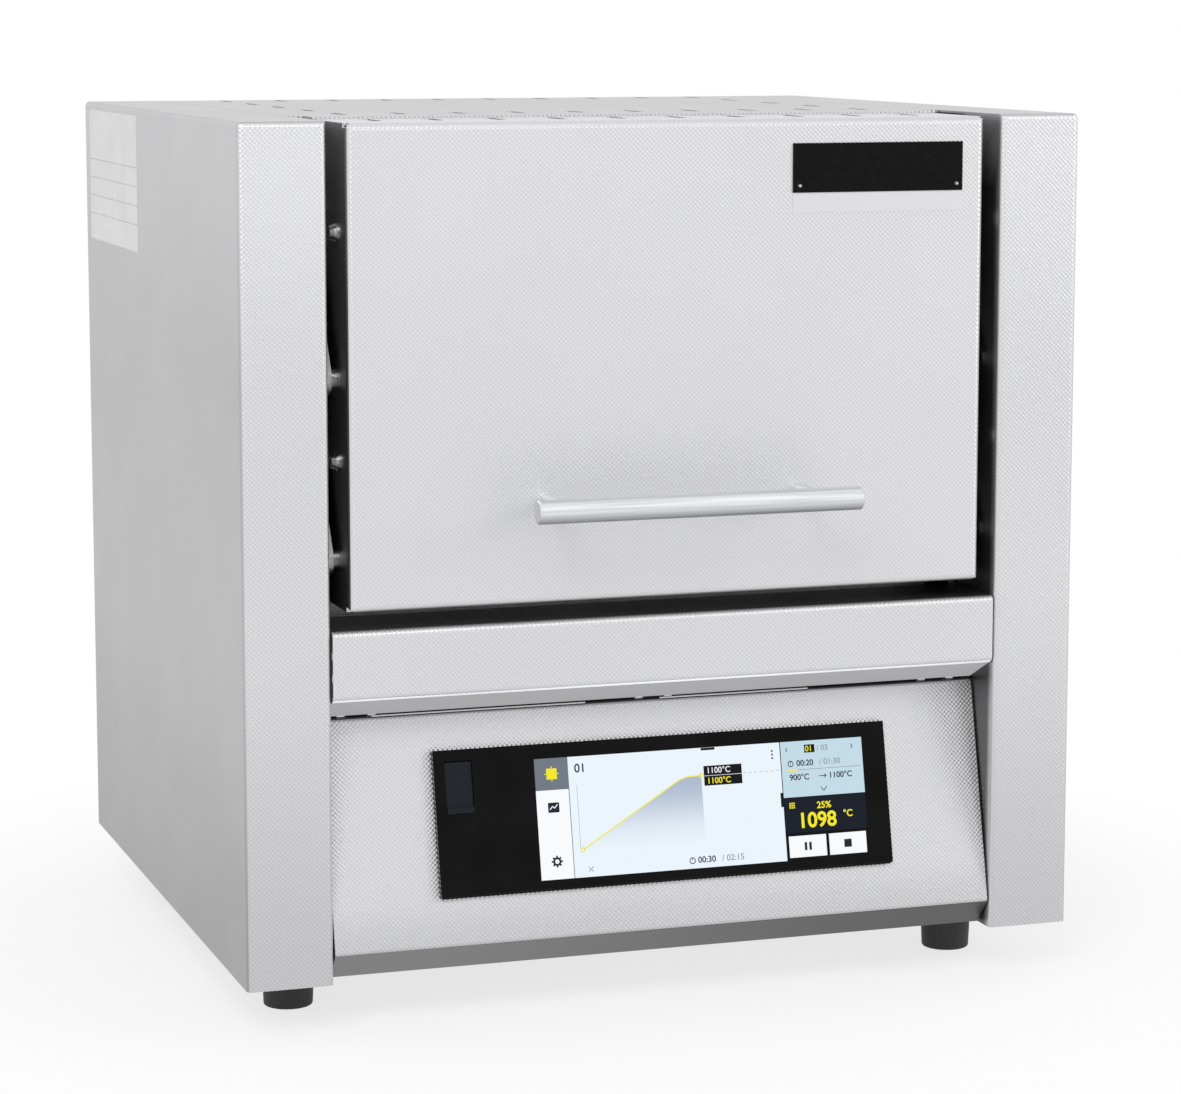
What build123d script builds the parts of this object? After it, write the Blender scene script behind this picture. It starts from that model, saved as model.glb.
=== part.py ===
from build123d import *
import os
from math import atan2, cos, radians, sin

# Bench muffle furnace with a parallel lift door, in millimetres.
# X runs to the operator's right, the door faces -Y and Z is up.
# The origin is on the bench, under the middle of the furnace's overall box.

os.makedirs("parts", exist_ok=True)

# Casing
case_width = 385.0
case_depth = 340.0
case_height = 370.5
sheet = 1.0                 # thickness of every folded sheet
bend_radius = 2.5           # outside radius of the folds
seam_length = 18.0          # mitred seams on the pillars' inner flanges
pillar_width = 38.2
pillar_return = 40.0        # depth of the pillar's inner flange
fit_gap = 0.3               # gap between a panel and the one it sits in

# Feet
foot_height = 24.0
foot_radius = 12.0
foot_taper = 1.0
foot_nut = 4.0
foot_inset_x = 32.5         # from the casing's side to the foot's axis
foot_inset_front = 62.0
foot_inset_back = 60.0
stud_radius = 3.0
stud_length = 16.0

# Crossbar under the door and the tilted control panel
crossbar_bottom_height = 124.5
crossbar_height = 29.3
crossbar_side_gap = 0.7
crossbar_shelf_depth = 40.0
drip_depth = 24.0           # how far the crossbar's lower face slopes back
drip_drop = 11.5
panel_bottom_height = 12.5
panel_toe_depth = 1.0
panel_height = 99.7
panel_slope_depth = 21.87
panel_side_gap = 0.8
panel_lip = 11.0
apron_depth = 10.5
apron_drop = 12.0
tab_width = 3.4
tab_pitch = 13.9
tab_inset = 16.5            # from the panel's end to the middle of an outer pair of tabs

# Lift door
door_side_gap = 8.1
door_bottom_gap = 8.0
door_top_step = 1.0         # the door's top lies this far below the casing's
door_depth = 54.0
door_edge_radius = 3.0
door_lining_side_inset = 36.2   # from the door's side to its lining
door_lining_end_inset = 23.85   # from the door's top and bottom to its lining
door_lining_thickness = 32.0
door_lining_gap = 0.5       # between the door's lining and the chamber's
back_plate_inset = 1.0

# Handle
handle_length = 147.0
handle_radius = 5.15
handle_post_spacing = 116.0
handle_post_radius = 3.0
handle_stand_off = 35.5     # from the door's face to the bar's axis
handle_height = 45.0        # above the door's bottom edge
handle_flat = 1.0           # depth of the seat that each post has on the bar
handle_screw_head = 4.0

# Badge, bare
badge_width = 80.5
badge_height = 21.5
badge_thickness = 0.8
badge_right_inset = 10.8    # from the door's right edge
badge_top_inset = 10.7      # from the door's top edge
rivet_radius = 1.0
rivet_inset = 3.0

# Bare side label
label_length = 118.0
label_height = 64.0
label_thickness = 0.1
label_back_inset = 10.8
label_top_inset = 3.6

# Lift linkage
open_clearance = 1.63       # the open door's bottom edge above the chamber's ceiling
arm_width = 14.0
arm_thickness = 3.0
notch_gap = 0.7             # behind the raised arm, in the top panel
arm_closed_angle = 60.0     # below the horizontal with the door shut
arm_open_angle = 35.0       # above it with the door open
pivot_below_door_top = 16.0
pivot_above_door_bottom = 20.17
door_pivot_depth = 23.0
pivot_radius = 4.0          # frame pivots
door_pin_radius = 3.0
running_gap = 0.05
side_play = 0.3             # between an arm and what it turns against
hinge_plate_thickness = 2.5
hinge_plate_gap = 5.0       # behind the pillar's inner flange
hinge_plate_margin = 9.0    # behind the spring
bearing_length = 4.8
crank_radius = 26.0
crank_pin_radius = 2.5
crank_pin_length = 8.0
spring_wire = 1.6
spring_radius = 5.0
spring_pitch = 2.4
spring_turns = 26
spring_anchor_height = 46.0 # above the shelf
door_bolt_depth = 16.5
low_bolt_height = 63.5      # above the door's bottom edge
high_bolt_drop = 46.4       # below the door's top edge
door_bolt_head = 4.2
door_bolt_shank = 2.5
door_bracket_thickness = 2.5

# Heating chamber
chamber_depth = 142.0
side_lining_thickness = 64.0    # heating plate included
floor_lining_thickness = 46.85
roof_lining_thickness = 47.85
floor_plate_thickness = 8.0
floor_plate_margin = 4.0
collar_gap = 3.0            # between the shut door's shell and the collar plate
collar_mouth_gap = 5.0      # around the door's lining
housing_side_gap = 1.2      # the inner housing is this much narrower than the door
housing_feet = 6.0
top_air_gap = 5.0
rear_lining_thickness = 55.0
heater_thickness = 15.0
heater_lip = 6.0            # lining in front of and behind each heating plate
heater_grooves = 7
heater_groove_width = 5.0
heater_groove_depth = 3.0
terminal_radius = 3.0
terminal_spread = 35.0      # above and below the chamber's middle
terminal_tail = 22.0
lining_bore_gap = 0.3

# Thermocouple and exhaust
sheath_radius = 4.0
sheath_reach = 18.0         # into the chamber
sheath_gap = 10.0           # from the head's flange to the exhaust tube
sheath_below_ceiling = 22.0
head_radius = 13.0
head_flange_radius = 17.0
head_flange = 3.0
head_length = 22.0
exhaust_outer_radius = 15.0
exhaust_bore_radius = 10.0
exhaust_below_ceiling = 22.0
spigot_wall = 2.0
spigot_reach = 20.0         # behind the rear panel
spigot_flange_radius = 28.0
spigot_flange = 1.5

# Vent slots
vent_length = 24.0
vent_width = 4.0
vent_pitch_x = 27.7
vent_inset = 21.5           # the outer slots lie at least this far from the door's side
door_vent_depth = 38.0
top_vent_first = 97.0
top_vent_pitch = 56.5
top_vent_inset = 16.0       # the last row lies at least this far from the casing's back
rear_vent_width = 26.0
rear_vent_height = 4.0
rear_vent_pitch_x = 38.0
rear_vent_pitch_z = 12.0
rear_vent_columns = 5
rear_vent_rows = 4
rear_vents_drop = 86.0      # from the exhaust down to the middle of the upper vents

# Controller on the tilted panel
glass_width = 212.6
glass_height = 64.6
glass_thickness = 3.0
glass_offset = 0.9          # to the right of the middle
glass_bottom = 20.6         # up the panel from its lower edge
screen_width = 155.5
screen_height = 53.2
screen_left_inset = 45.9
screen_bottom_inset = 4.8
screen_depth = 7.0
controller_margin = 2.5
controller_depth = 24.0
controller_wall = 2.0
board_thickness = 1.6
board_gap = 10.0            # from the panel's face back to the board
port_width = 12.5
port_height = 23.2
port_left_inset = 5.0
port_top_inset = 5.0
cover_thickness = 1.8
cover_gap = 0.2
cover_pin_radius = 0.6
cover_pin_length = 0.9
cover_axis_depth = 1.6      # behind the glass's front
cover_lip = 1.3
usb_height = 14.4
usb_width = 6.6
usb_wall = 0.6

# Mains inlet module with its rocker switch
inlet_width = 32.0
inlet_height = 62.0
inlet_flange = 2.0
inlet_body_width = 27.0
inlet_body_height = 57.0
inlet_body_depth = 24.0
inlet_inset = 52.5          # from the casing's side
inlet_centre_height = 62.0
socket_width = 24.5
socket_height = 17.0
socket_depth = 16.0
socket_drop = 14.0          # below the module's centre
rocker_width = 12.6
rocker_length = 18.6
rocker_rise = 15.0          # above the module's centre
rocker_travel = 20.0        # degrees from off to on
rocker_gap = 0.3
rocker_pin_radius = 1.5
rocker_depth = 9.0

# Electronics on the base tray
tray_rim = 12.0
supply_length = 98.0
supply_width = 60.0
supply_height = 38.0
sink_length = 100.0
sink_width = 66.0
sink_base = 6.0
sink_fin_height = 26.0
sink_fin = 2.0
sink_fins = 9
relay_length = 58.0
relay_width = 45.0
relay_height = 28.0
switch_length = 28.0
switch_width = 8.0
switch_height = 6.0

# Screws
screw_head_radius = 3.5
screw_head = 2.0
screw_radius = 2.0
screw_length = 8.0
screw_inset = 7.0
rear_flange = 14.0

# Places worked out from the sizes above
handle_reach = handle_stand_off + handle_radius
front = (handle_reach - spigot_reach - case_depth) / 2
back = front + case_depth
half_width = case_width / 2
inlet_x = inlet_inset - half_width
pillar_inner = half_width - pillar_width
door_half = pillar_inner - door_side_gap
case_bottom = foot_height
case_top = case_bottom + case_height
crossbar_bottom = case_bottom + crossbar_bottom_height
crossbar_top = crossbar_bottom + crossbar_height
shelf_top = crossbar_top
door_bottom = crossbar_top + door_bottom_gap
door_top = case_top - door_top_step
door_back = front + door_depth
collar_front = door_back + collar_gap
chamber_front = collar_front + sheet
chamber_back = chamber_front + chamber_depth
lining_back = chamber_back + rear_lining_thickness
housing_back = lining_back + sheet
housing_half = door_half - housing_side_gap
lining_half = housing_half - sheet
housing_bottom = shelf_top + housing_feet
housing_top = case_top - sheet - top_air_gap
chamber_mid = (door_bottom + door_top) / 2
lining_bottom = housing_bottom + sheet
lining_top = housing_top - sheet
chamber_floor = lining_bottom + floor_lining_thickness
chamber_ceiling = lining_top - roof_lining_thickness
chamber_half = lining_half - side_lining_thickness
lining_x = door_half - door_lining_side_inset
lining_z = (door_top - door_bottom) / 2 - door_lining_end_inset
heater_outer = chamber_half + heater_thickness
exhaust_z = chamber_ceiling - exhaust_below_ceiling
sheath_x = -exhaust_outer_radius - sheath_gap - head_flange_radius
sheath_z = chamber_ceiling - sheath_below_ceiling

# Linkage levels, with the door shut
arm_mid = (door_half + pillar_inner) / 2
arm_inner = arm_mid - arm_thickness / 2
arm_outer = arm_mid + arm_thickness / 2
door_lift = chamber_ceiling + open_clearance - door_bottom
arm_length = door_lift / (sin(radians(arm_closed_angle)) + sin(radians(arm_open_angle)))
arm_back_run = arm_length * cos(radians(arm_closed_angle))
arm_rise = arm_length * sin(radians(arm_closed_angle))
door_pivot_y = front + door_pivot_depth
frame_pivot_y = door_pivot_y + arm_back_run
upper_frame_z = door_top - pivot_below_door_top
upper_door_z = upper_frame_z - arm_rise
lower_door_z = door_bottom + pivot_above_door_bottom
lower_frame_z = lower_door_z + arm_rise
hinge_inner = arm_outer + side_play
hinge_outer = hinge_inner + hinge_plate_thickness
bearing_outer = hinge_inner + bearing_length
crank_inner = bearing_outer + side_play
crank_outer = crank_inner + arm_thickness
crank_pin_outer = crank_outer + crank_pin_length
spring_x = crank_outer + spring_radius
spring_y = frame_pivot_y + crank_radius
hinge_front = front + pillar_return + hinge_plate_gap
hinge_back = spring_y + hinge_plate_margin
spring_anchor_z = shelf_top + spring_anchor_height

# Tilted plane of the control panel: its x is the furnace's X and its y runs up the panel
panel_tilt = atan2(panel_slope_depth, panel_height)
panel_foot = (0, front + panel_toe_depth, case_bottom + panel_bottom_height)
panel_face = Plane(panel_foot, x_dir=(1, 0, 0), z_dir=(0, -cos(panel_tilt), sin(panel_tilt)))
glass_left = glass_offset - glass_width / 2
glass_right = glass_left + glass_width
glass_top = glass_bottom + glass_height
screen_left = glass_left + screen_left_inset
screen_bottom = glass_bottom + screen_bottom_inset
port_left = glass_left + port_left_inset
port_top = glass_top - port_top_inset
port_mid = port_left + port_width / 2
port_bottom = port_top - port_height
cover_axis_up = port_top - cover_gap / 2 - cover_thickness / 2
cover_axis_out = glass_thickness - cover_axis_depth


def block(x0, x1, y0, y1, z0, z1, mode=Mode.ADD):
    """A plain block between two corners."""
    with Locations(((x0 + x1) / 2, (y0 + y1) / 2, (z0 + z1) / 2)):
        Box(abs(x1 - x0), abs(y1 - y0), abs(z1 - z0), mode=mode)


def rod_x(x0, x1, y, z, radius, mode=Mode.ADD):
    """A round rod along X."""
    with Locations(((x0 + x1) / 2, y, z)):
        Cylinder(radius, abs(x1 - x0), rotation=(0, 90, 0), mode=mode)


def rod_y(x, y0, y1, z, radius, mode=Mode.ADD):
    """A round rod along Y."""
    with Locations((x, (y0 + y1) / 2, z)):
        Cylinder(radius, abs(y1 - y0), rotation=(90, 0, 0), mode=mode)


def rod_z(x, y, z0, z1, radius, mode=Mode.ADD):
    """A round rod along Z."""
    with Locations((x, y, (z0 + z1) / 2)):
        Cylinder(radius, abs(z1 - z0), mode=mode)


def folded_face(*points):
    """The section of a folded sheet whose outside follows the points, seen in a sketch."""
    with BuildLine() as section:
        outside = FilletPolyline(*points, radius=bend_radius)
        offset(outside, amount=sheet, side=Side.LEFT)
    make_face(section.edges())


def keep(piece, name):
    """Label a finished piece and write it."""
    piece.part.label = name
    export_step(piece.part, f"parts/{name}.step")


# Side panels: one folded sheet each, with the front pillar, its inner return and the top strip
foot_places = [(sign * (half_width - foot_inset_x), y)
               for sign in (-1, 1) for y in (front + foot_inset_front, back - foot_inset_back)]
for side, sign in (("left", -1), ("right", 1)):
    with BuildPart() as side_panel:
        block(sign * pillar_inner, sign * half_width, front, back, case_bottom, case_top)
        front_uprights = side_panel.edges().filter_by(Axis.Z).group_by(Axis.Y)[0]
        top_edges = side_panel.faces().sort_by(Axis.Z)[-1].edges()
        side_edge = top_edges.filter_by(Axis.Y).sort_by(Axis.X)[0 if sign < 0 else -1]
        front_edge = top_edges.filter_by(Axis.X).sort_by(Axis.Y)[0]
        fillet(front_uprights + [side_edge, front_edge], bend_radius)
        block(sign * (pillar_inner + sheet), sign * (half_width - sheet),
              front + sheet, back + sheet, case_bottom + sheet, case_top - sheet, Mode.SUBTRACT)
        block(sign * (pillar_inner - sheet), sign * (pillar_inner + 2 * sheet),
              front + pillar_return, back + sheet, case_bottom + sheet, case_top - sheet, Mode.SUBTRACT)
        block(sign * (half_width - rear_flange), sign * (half_width - sheet / 2),
              back - 2 * sheet - fit_gap, back - sheet - fit_gap,
              case_bottom + sheet / 2, case_top - sheet / 2)
        for x, y in foot_places:
            rod_z(x, y, case_bottom - sheet, case_bottom + 2 * sheet, stud_radius + running_gap,
                  Mode.SUBTRACT)
        for seam_z in (case_top, crossbar_bottom):
            seam = Plane((sign * pillar_inner, front, seam_z), x_dir=(0, 1, -1), z_dir=(sign, 0, 0))
            with BuildSketch(seam):
                with Locations((2 * bend_radius + seam_length / 2, 0)):
                    Rectangle(seam_length, fit_gap)
            extrude(amount=fit_gap, mode=Mode.SUBTRACT)
    keep(side_panel, f"{side}_side_panel")

# Top panel between the two strips, with rows of vent slots and notches for the lift arms
panel_half = pillar_inner - fit_gap
top_front = door_back + fit_gap + sheet
notch_back = frame_pivot_y - arm_width / 2 - notch_gap
top_fold = 10.0
vent_columns = int(2 * (door_half - vent_inset) / vent_pitch_x) + 1
vent_columns_x = [(column - (vent_columns - 1) / 2) * vent_pitch_x for column in range(vent_columns)]
with BuildPart() as top_panel:
    block(-panel_half, panel_half, top_front, back - sheet - fit_gap, case_top - sheet, case_top)
    for sign in (-1, 1):
        block(sign * (door_half + fit_gap), sign * (panel_half + sheet),
              top_front - sheet, notch_back, case_top - 2 * sheet, case_top + sheet, Mode.SUBTRACT)
        block(sign * (panel_half - sheet), sign * panel_half, hinge_back + fit_gap, back - 2 * rear_flange,
              case_top - top_fold, case_top - sheet)
    block(-door_half + bend_radius, door_half - bend_radius, top_front, top_front + sheet,
          case_top - top_fold, case_top - sheet)
    top_vent_rows = int((case_depth - top_vent_first - top_vent_inset) / top_vent_pitch) + 1
    for row in range(top_vent_rows):
        row_y = front + top_vent_first + row * top_vent_pitch
        full_row = row in (0, top_vent_rows - 1)
        row_x = vent_columns_x if full_row else [vent_columns_x[0], vent_columns_x[-1]]
        with BuildSketch(Plane.XY.offset(case_top)):
            with Locations([(x, row_y) for x in row_x]):
                SlotOverall(vent_length, vent_width, rotation=90)
        extrude(amount=-2 * sheet, mode=Mode.SUBTRACT)
keep(top_panel, "top_panel")

# Rear panel with louvre slots and cut-outs for the mains inlet and the exhaust
inlet_z = case_bottom + inlet_centre_height
rear_half = half_width - sheet - fit_gap
rear_vents_z = exhaust_z - rear_vents_drop
with BuildPart() as rear_panel:
    block(-rear_half, rear_half, back - sheet, back,
          case_bottom + sheet + fit_gap, case_top - sheet - fit_gap)
    block(inlet_x - inlet_body_width / 2 - fit_gap, inlet_x + inlet_body_width / 2 + fit_gap,
          back - 2 * sheet, back + sheet, inlet_z - inlet_body_height / 2 - fit_gap,
          inlet_z + inlet_body_height / 2 + fit_gap, Mode.SUBTRACT)
    rod_y(0, back - 2 * sheet, back + sheet, exhaust_z, exhaust_outer_radius + fit_gap, Mode.SUBTRACT)
    with BuildSketch(Plane.XZ.offset(-back)):
        for vents_z in (rear_vents_z, case_bottom + inlet_centre_height):
            with Locations((0, vents_z)):
                with GridLocations(rear_vent_pitch_x, rear_vent_pitch_z, rear_vent_columns, rear_vent_rows):
                    SlotOverall(rear_vent_width, rear_vent_height)
    extrude(amount=2 * sheet, mode=Mode.SUBTRACT)
keep(rear_panel, "rear_panel")

# Base tray with an upturned rim, resting on the side panels' lower flanges
tray_bottom = case_bottom + sheet
tray_top = tray_bottom + sheet
tray_front = front + panel_toe_depth + apron_depth + 2 * sheet
tray_back = back - 2 * sheet - 2 * fit_gap
tray_half = rear_half - fit_gap
with BuildPart() as base_tray:
    block(-tray_half, tray_half, tray_front, tray_back, tray_bottom, tray_bottom + tray_rim)
    block(-tray_half + sheet, tray_half - sheet, tray_front + sheet, tray_back - sheet,
          tray_top, tray_bottom + 2 * tray_rim, Mode.SUBTRACT)
    for sign in (-1, 1):
        block(sign * (pillar_inner - fit_gap), sign * half_width, tray_front - sheet,
              front + pillar_return + fit_gap, case_bottom, tray_bottom + 2 * tray_rim, Mode.SUBTRACT)
    with BuildSketch(Plane.XY.offset(tray_bottom)):
        with Locations((0, (tray_front + tray_back) / 2)):
            with GridLocations(rear_vent_pitch_x, 4 * rear_vent_pitch_z, rear_vent_columns, rear_vent_rows):
                SlotOverall(rear_vent_width, rear_vent_height)
        with Locations(foot_places):
            Circle(stud_radius + running_gap)
    extrude(amount=sheet, mode=Mode.SUBTRACT)
keep(base_tray, "base_tray")

# Crossbar under the door: top shelf, front face and a drip edge that slopes back
crossbar_half = pillar_inner - crossbar_side_gap
with BuildPart() as front_crossbar:
    with BuildSketch(Plane.YZ.offset(-crossbar_half)):
        folded_face((front + crossbar_shelf_depth, crossbar_top), (front, crossbar_top),
                    (front, crossbar_bottom), (front + drip_depth, crossbar_bottom - drip_drop))
    extrude(amount=2 * crossbar_half)
keep(front_crossbar, "front_crossbar")

# Tilted control panel with its apron, the lip behind and the small locating tabs on top
panel_half_width = pillar_inner - panel_side_gap
panel_top = case_bottom + panel_bottom_height + panel_height
toe = front + panel_toe_depth
lip_y = toe + panel_slope_depth
housing_left = glass_left + controller_margin
housing_right = glass_right - controller_margin
housing_low = glass_bottom + controller_margin
housing_high = glass_top - controller_margin
with BuildPart() as control_panel:
    with BuildSketch(Plane.YZ.offset(-panel_half_width)):
        folded_face((lip_y + panel_lip, panel_top), (lip_y, panel_top), (toe, panel_top - panel_height),
                    (toe + apron_depth, panel_top - panel_height - apron_drop))
    extrude(amount=2 * panel_half_width)
    with BuildSketch(panel_face):
        with Locations(((housing_left + housing_right) / 2, (housing_low + housing_high) / 2)):
            Rectangle(housing_right - housing_left + 2 * fit_gap, housing_high - housing_low + 2 * fit_gap)
    extrude(amount=-2 * panel_lip, mode=Mode.SUBTRACT)
    tab_top = crossbar_bottom - drip_drop + sheet
    tab_spread = panel_half_width - tab_inset
    tab_places = [group * tab_spread + pair * tab_pitch / 2 for group in (-1, 0, 1) for pair in (-1, 1)]
    for tab_x in tab_places:
        block(tab_x - tab_width / 2, tab_x + tab_width / 2,
              lip_y + bend_radius, lip_y + bend_radius + sheet, panel_top - sheet, tab_top)
keep(control_panel, "control_panel")

# Polished plate around the chamber's mouth
with BuildPart() as collar_plate:
    mouth_x = lining_x + collar_mouth_gap
    mouth_z = lining_z + collar_mouth_gap
    block(-housing_half, housing_half, collar_front, collar_front + sheet,
          shelf_top, case_top - sheet - top_air_gap)
    block(-mouth_x, mouth_x, collar_front - sheet, chamber_front + sheet,
          chamber_mid - mouth_z, chamber_mid + mouth_z, Mode.SUBTRACT)
keep(collar_plate, "collar_plate")

# Shelf that parts the hot chamber from the electronics
shelf_front = front + crossbar_shelf_depth + fit_gap
with BuildPart() as mid_shelf:
    block(-rear_half, rear_half, shelf_front, tray_back, shelf_top - sheet, shelf_top)
    for sign in (-1, 1):
        block(sign * (rear_half - sheet), sign * rear_half, shelf_front, tray_back,
              shelf_top - top_fold, shelf_top)
keep(mid_shelf, "mid_shelf")

# Inner housing around the lining, on four channel feet
terminal_x = chamber_half + heater_thickness / 2
terminal_places = [(side * terminal_x, chamber_mid + level * terminal_spread)
                   for side in (-1, 1) for level in (-1, 1)]
housing_foot_width = 12.0
with BuildPart() as inner_housing:
    block(-housing_half, housing_half, chamber_front, housing_back, housing_bottom, housing_top)
    block(-lining_half, lining_half, chamber_front - sheet, lining_back, housing_bottom + sheet,
          housing_top - sheet, Mode.SUBTRACT)
    for x, z in terminal_places:
        rod_y(x, lining_back - sheet, housing_back + sheet, z, 2 * terminal_radius, Mode.SUBTRACT)
    rod_y(sheath_x, lining_back - sheet, housing_back + sheet, sheath_z, sheath_radius + fit_gap,
          Mode.SUBTRACT)
    rod_y(0, lining_back - sheet, housing_back + sheet, exhaust_z, exhaust_outer_radius + fit_gap,
          Mode.SUBTRACT)
    for y in (chamber_front, housing_back - housing_foot_width):
        for sign in (-1, 1):
            block(sign * (lining_half - housing_foot_width), sign * lining_half, y, y + housing_foot_width,
                  shelf_top, housing_bottom)
keep(inner_housing, "inner_housing")

# Fibre lining: two side blocks, a floor, a roof and a rear block
for side, sign in (("left", -1), ("right", 1)):
    with BuildPart() as side_lining:
        block(sign * chamber_half, sign * lining_half, chamber_front, chamber_back,
              chamber_floor, chamber_ceiling)
        block(sign * (chamber_half - sheet), sign * heater_outer, chamber_front + heater_lip, chamber_back,
              chamber_floor, chamber_ceiling, Mode.SUBTRACT)
    keep(side_lining, f"{side}_lining")

with BuildPart() as floor_lining:
    block(-lining_half, lining_half, chamber_front, chamber_back, lining_bottom, chamber_floor)
keep(floor_lining, "floor_lining")

with BuildPart() as roof_lining:
    block(-lining_half, lining_half, chamber_front, chamber_back, chamber_ceiling, lining_top)
keep(roof_lining, "roof_lining")

with BuildPart() as rear_lining_block:
    block(-lining_half, lining_half, chamber_back, lining_back, lining_bottom, lining_top)
    for x, z in terminal_places:
        rod_y(x, chamber_back, lining_back, z, terminal_radius + lining_bore_gap, Mode.SUBTRACT)
    rod_y(sheath_x, chamber_back, lining_back, sheath_z, sheath_radius + lining_bore_gap, Mode.SUBTRACT)
    rod_y(0, chamber_back, lining_back, exhaust_z, exhaust_outer_radius + lining_bore_gap, Mode.SUBTRACT)
keep(rear_lining_block, "rear_lining")

# Ceramic heating plates with grooves for the elements, and their terminal rods
heater_front = chamber_front + heater_lip
for side, sign in (("left", -1), ("right", 1)):
    with BuildPart() as heating_plate:
        block(sign * chamber_half, sign * heater_outer, heater_front, chamber_back,
              chamber_floor, chamber_ceiling)
        groove_pitch = (chamber_ceiling - chamber_floor - floor_plate_thickness) / (heater_grooves + 1)
        for groove in range(heater_grooves):
            groove_z = chamber_floor + floor_plate_thickness + (groove + 1) * groove_pitch
            block(sign * chamber_half, sign * (chamber_half + heater_groove_depth), heater_front + heater_lip,
                  chamber_back - heater_lip, groove_z - heater_groove_width / 2,
                  groove_z + heater_groove_width / 2, Mode.SUBTRACT)
    keep(heating_plate, f"{side}_heating_plate")

with BuildPart() as heater_terminals:
    for x, z in terminal_places:
        rod_y(x, chamber_back, lining_back + terminal_tail, z, terminal_radius)
        block(x - 2 * terminal_radius, x + 2 * terminal_radius, lining_back + terminal_tail / 2,
              lining_back + terminal_tail - sheet, z - 2 * terminal_radius, z + 2 * terminal_radius)
keep(heater_terminals, "heater_terminals")

# Ceramic floor plate
with BuildPart() as floor_plate:
    block(-chamber_half + fit_gap, chamber_half - fit_gap, chamber_front + floor_plate_margin,
          chamber_back - floor_plate_margin, chamber_floor, chamber_floor + floor_plate_thickness)
    fillet(floor_plate.edges().filter_by(Axis.Z), floor_plate_margin)
keep(floor_plate, "floor_plate")

# Thermocouple: a ceramic sheath with a round tip, and its connection head on the housing
with BuildPart() as thermocouple_sheath:
    rod_y(sheath_x, chamber_back - sheath_reach, housing_back + head_flange, sheath_z, sheath_radius)
    tip = thermocouple_sheath.faces().sort_by(Axis.Y)[0]
    fillet(tip.edges(), sheath_radius * 0.9)
keep(thermocouple_sheath, "thermocouple_sheath")

with BuildPart() as thermocouple_head:
    rod_y(sheath_x, housing_back, housing_back + head_flange, sheath_z, head_flange_radius)
    rod_y(sheath_x, housing_back + head_flange, housing_back + head_length, sheath_z, head_radius)
    rod_y(sheath_x, housing_back, housing_back + head_flange, sheath_z, sheath_radius, Mode.SUBTRACT)
    rear_rim = thermocouple_head.faces().sort_by(Axis.Y)[-1].edges()
    chamfer(rear_rim, sheet)
keep(thermocouple_head, "thermocouple_head")

# Exhaust: a ceramic tube from the chamber and a flanged steel spigot on the rear panel
with BuildPart() as exhaust_tube:
    rod_y(0, chamber_back, back, exhaust_z, exhaust_outer_radius)
    rod_y(0, chamber_back, back, exhaust_z, exhaust_bore_radius, Mode.SUBTRACT)
keep(exhaust_tube, "exhaust_tube")

spigot_radius = exhaust_outer_radius + spigot_wall
with BuildPart() as exhaust_spigot:
    rod_y(0, back, back + spigot_flange, exhaust_z, spigot_flange_radius)
    rod_y(0, back, back + spigot_reach, exhaust_z, spigot_radius)
    rod_y(0, back, back + spigot_reach, exhaust_z, exhaust_outer_radius, Mode.SUBTRACT)
keep(exhaust_spigot, "exhaust_spigot")

# Feet: tapered rubber pads, each on a stud that passes through the flange and the tray
stud_bottom = tray_top + foot_nut - stud_length
with BuildPart() as rubber_feet:
    for x, y in foot_places:
        with Locations((x, y, foot_height / 2)):
            Cone(foot_radius - foot_taper, foot_radius, foot_height)
    fillet(rubber_feet.faces().group_by(Axis.Z)[0].edges(), foot_taper)
    for x, y in foot_places:
        rod_z(x, y, stud_bottom, foot_height, stud_radius, Mode.SUBTRACT)
keep(rubber_feet, "rubber_feet")

with BuildPart() as foot_studs:
    for x, y in foot_places:
        rod_z(x, y, stud_bottom, tray_top + foot_nut, stud_radius)
    with BuildSketch(Plane.XY.offset(tray_top)):
        with Locations(foot_places):
            RegularPolygon(2 * stud_radius, 6)
    extrude(amount=foot_nut)
keep(foot_studs, "foot_studs")

# Hinge plates beside the chamber: foot flange, two bearings and the spring's anchor pin
hinge_top = case_top - sheet - fit_gap - sheet
hinge_foot = 18.0
for side, sign in (("left", -1), ("right", 1)):
    with BuildPart() as hinge_plate:
        block(sign * hinge_inner, sign * hinge_outer, hinge_front, hinge_back, shelf_top, hinge_top)
        corners = hinge_plate.edges().filter_by(Axis.X).group_by(Axis.Z)[-1]
        fillet(corners, pivot_radius)
        block(sign * hinge_outer, sign * (hinge_outer + hinge_foot), hinge_front, hinge_back,
              shelf_top, shelf_top + hinge_plate_thickness)
        for pivot_z in (upper_frame_z, lower_frame_z):
            rod_x(sign * hinge_outer, sign * bearing_outer, frame_pivot_y, pivot_z, 2 * pivot_radius)
            rod_x(sign * (hinge_inner - sheet), sign * (bearing_outer + sheet), frame_pivot_y, pivot_z,
                  pivot_radius + running_gap, Mode.SUBTRACT)
        rod_x(sign * hinge_outer, sign * crank_pin_outer, spring_y, spring_anchor_z, crank_pin_radius)
    keep(hinge_plate, f"{side}_hinge_plate")


def arm_blank(frame_z, door_z, sign, door_bore):
    """A flat link from its frame pivot down to the door, with both bores."""
    arm_plane = Plane((sign * arm_mid, frame_pivot_y, frame_z), x_dir=(0, door_pivot_y - frame_pivot_y,
                      door_z - frame_z), z_dir=(1, 0, 0))
    with BuildSketch(arm_plane) as outline:
        with Locations((arm_length / 2, 0)):
            SlotCenterToCenter(arm_length, arm_width)
        Circle(pivot_radius, mode=Mode.SUBTRACT)
        with Locations((arm_length, 0)):
            Circle(door_bore, mode=Mode.SUBTRACT)
    extrude(outline.sketch, amount=arm_thickness / 2, both=True)


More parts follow.
